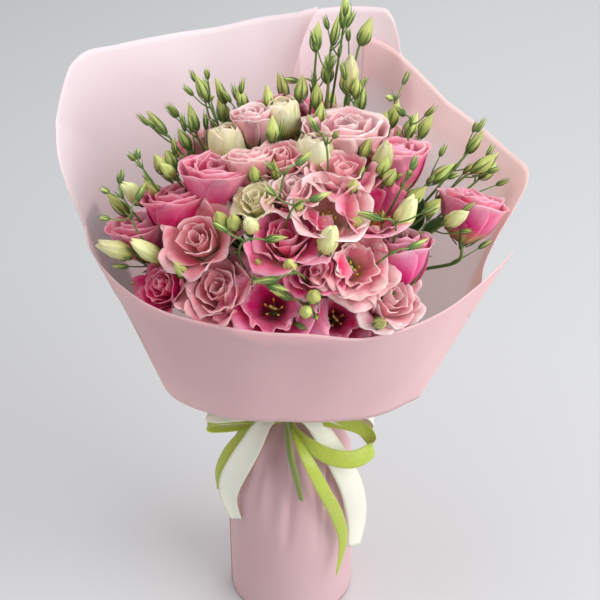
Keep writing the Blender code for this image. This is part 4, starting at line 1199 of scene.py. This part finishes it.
def cream_ribbon():
    """The upper turn, two loops, and two tails."""
    piece = Piece("cream_satin_bow")
    length = wound(piece, 0.2285, 0.2345, BAND_WIND)
    length += knot(piece, (-0.013, -0.0250, 0.2315), 0.015, (0.0062, 0.0052))
    length += sum(strip(piece, *row) for row in CREAM_STRIPS)
    made = piece.make([CREAM], node="cream_ribbon", thickness=RIBBON_THICKNESS)


def lime_ribbon():
    """The turn below the cream one, two loops, two tails, and a rolled end in front."""
    piece = Piece("lime_satin_bow")
    length = wound(piece, 0.2215, 0.2272, BAND_WIND)
    length += knot(piece, (-0.013, -0.0250, 0.2243), 0.013, (0.0058, 0.0040))
    length += sum(strip(piece, *row) for row in LIME_STRIPS)
    made = piece.make([LIME, SHADED_LIME], node="lime_ribbon", thickness=RIBBON_THICKNESS)


def stem_binding():
    """Three turns of twine round the stems, inside the paper."""
    piece = Piece("twine_turns")
    path = []
    for share in np.linspace(0, 1, 120):
        path.append(unit(3 * 360 * share) * 0.0138 + Vector((TIE_X, 0, TIE_HEIGHT + (share - 0.5) * 0.0042)))
    tube(piece, path, 0.0006)
    piece.make([TWINE], node="stem_binding")


# Stage


def stage():
    """The floor, the light and the camera."""
    mesh = bpy.data.meshes.new("floor")
    mesh.from_pydata([(x, y, -0.0005) for x, y in ((-8, -8), (8, -8), (8, 8), (-8, 8))], [], [(0, 1, 2, 3)])
    mesh.materials.append(Finish("floor_finish", {"Roughness": 0.7}).done((0.56, 0.565, 0.57)))
    floor = placed("floor", mesh)

    world = bpy.data.worlds.new("studio")
    world.use_nodes = True
    world.node_tree.nodes["Background"].inputs["Color"].default_value = (0.89, 0.90, 0.92, 1.0)
    world.node_tree.nodes["Background"].inputs["Strength"].default_value = 0.71
    bpy.context.scene.world = world
    for name, place, size, power, colour in (
        ("key", (1.5, -0.9, 1.35), 1.9, 42, (0.98, 0.99, 1.0)),
        ("top", (-0.6, -0.2, 1.8), 1.4, 8, (1.0, 1.0, 1.0)),
        ("back", (0.9, 2.4, 1.9), 1.8, 20, (1.0, 1.0, 1.0)),
    ):
        light = bpy.data.lights.new(name, "AREA")
        light.size = size
        light.energy = power
        light.color = colour
        lamp = placed(name, light)
        lamp.location = place
        lamp.rotation_euler = (Vector((0, 0, 0.3)) - Vector(place)).to_track_quat("-Z", "Y").to_euler()

    lens = bpy.data.cameras.new("camera")
    lens.lens = 79.2
    lens.sensor_width = 36.0
    camera = placed("camera", lens)
    camera.location = ORIGIN + Vector((0, -1.078, 0.963))
    camera.rotation_euler = (math.radians(60), 0, 0)
    bpy.context.scene.camera = camera
    bpy.context.scene.view_settings.view_transform = "Standard"


def main():
    stage()
    settled = settle()
    for name in BLOOMS:
        bloom(name, settled)
    forks, spots = lattice(settled)
    for name in BUDS:
        spray(name, forks[name], spots[name], settled)
    gathered_sheet("paper_left", LEFT_RIM, (-50, -185), 0.0020, 150, 0.003)
    gathered_sheet("paper_hood", HOOD_RIM, (120, 205), 0.0010, 80, -0.002)
    gathered_sheet("paper_right", RIGHT_RIM, (48, 150), 0.0, 120, 0.002, PAPER_RIGHT_LIT_AND_SHADED)
    front_band()
    skirt()
    stem_binding()
    cream_ribbon()
    lime_ribbon()


main()
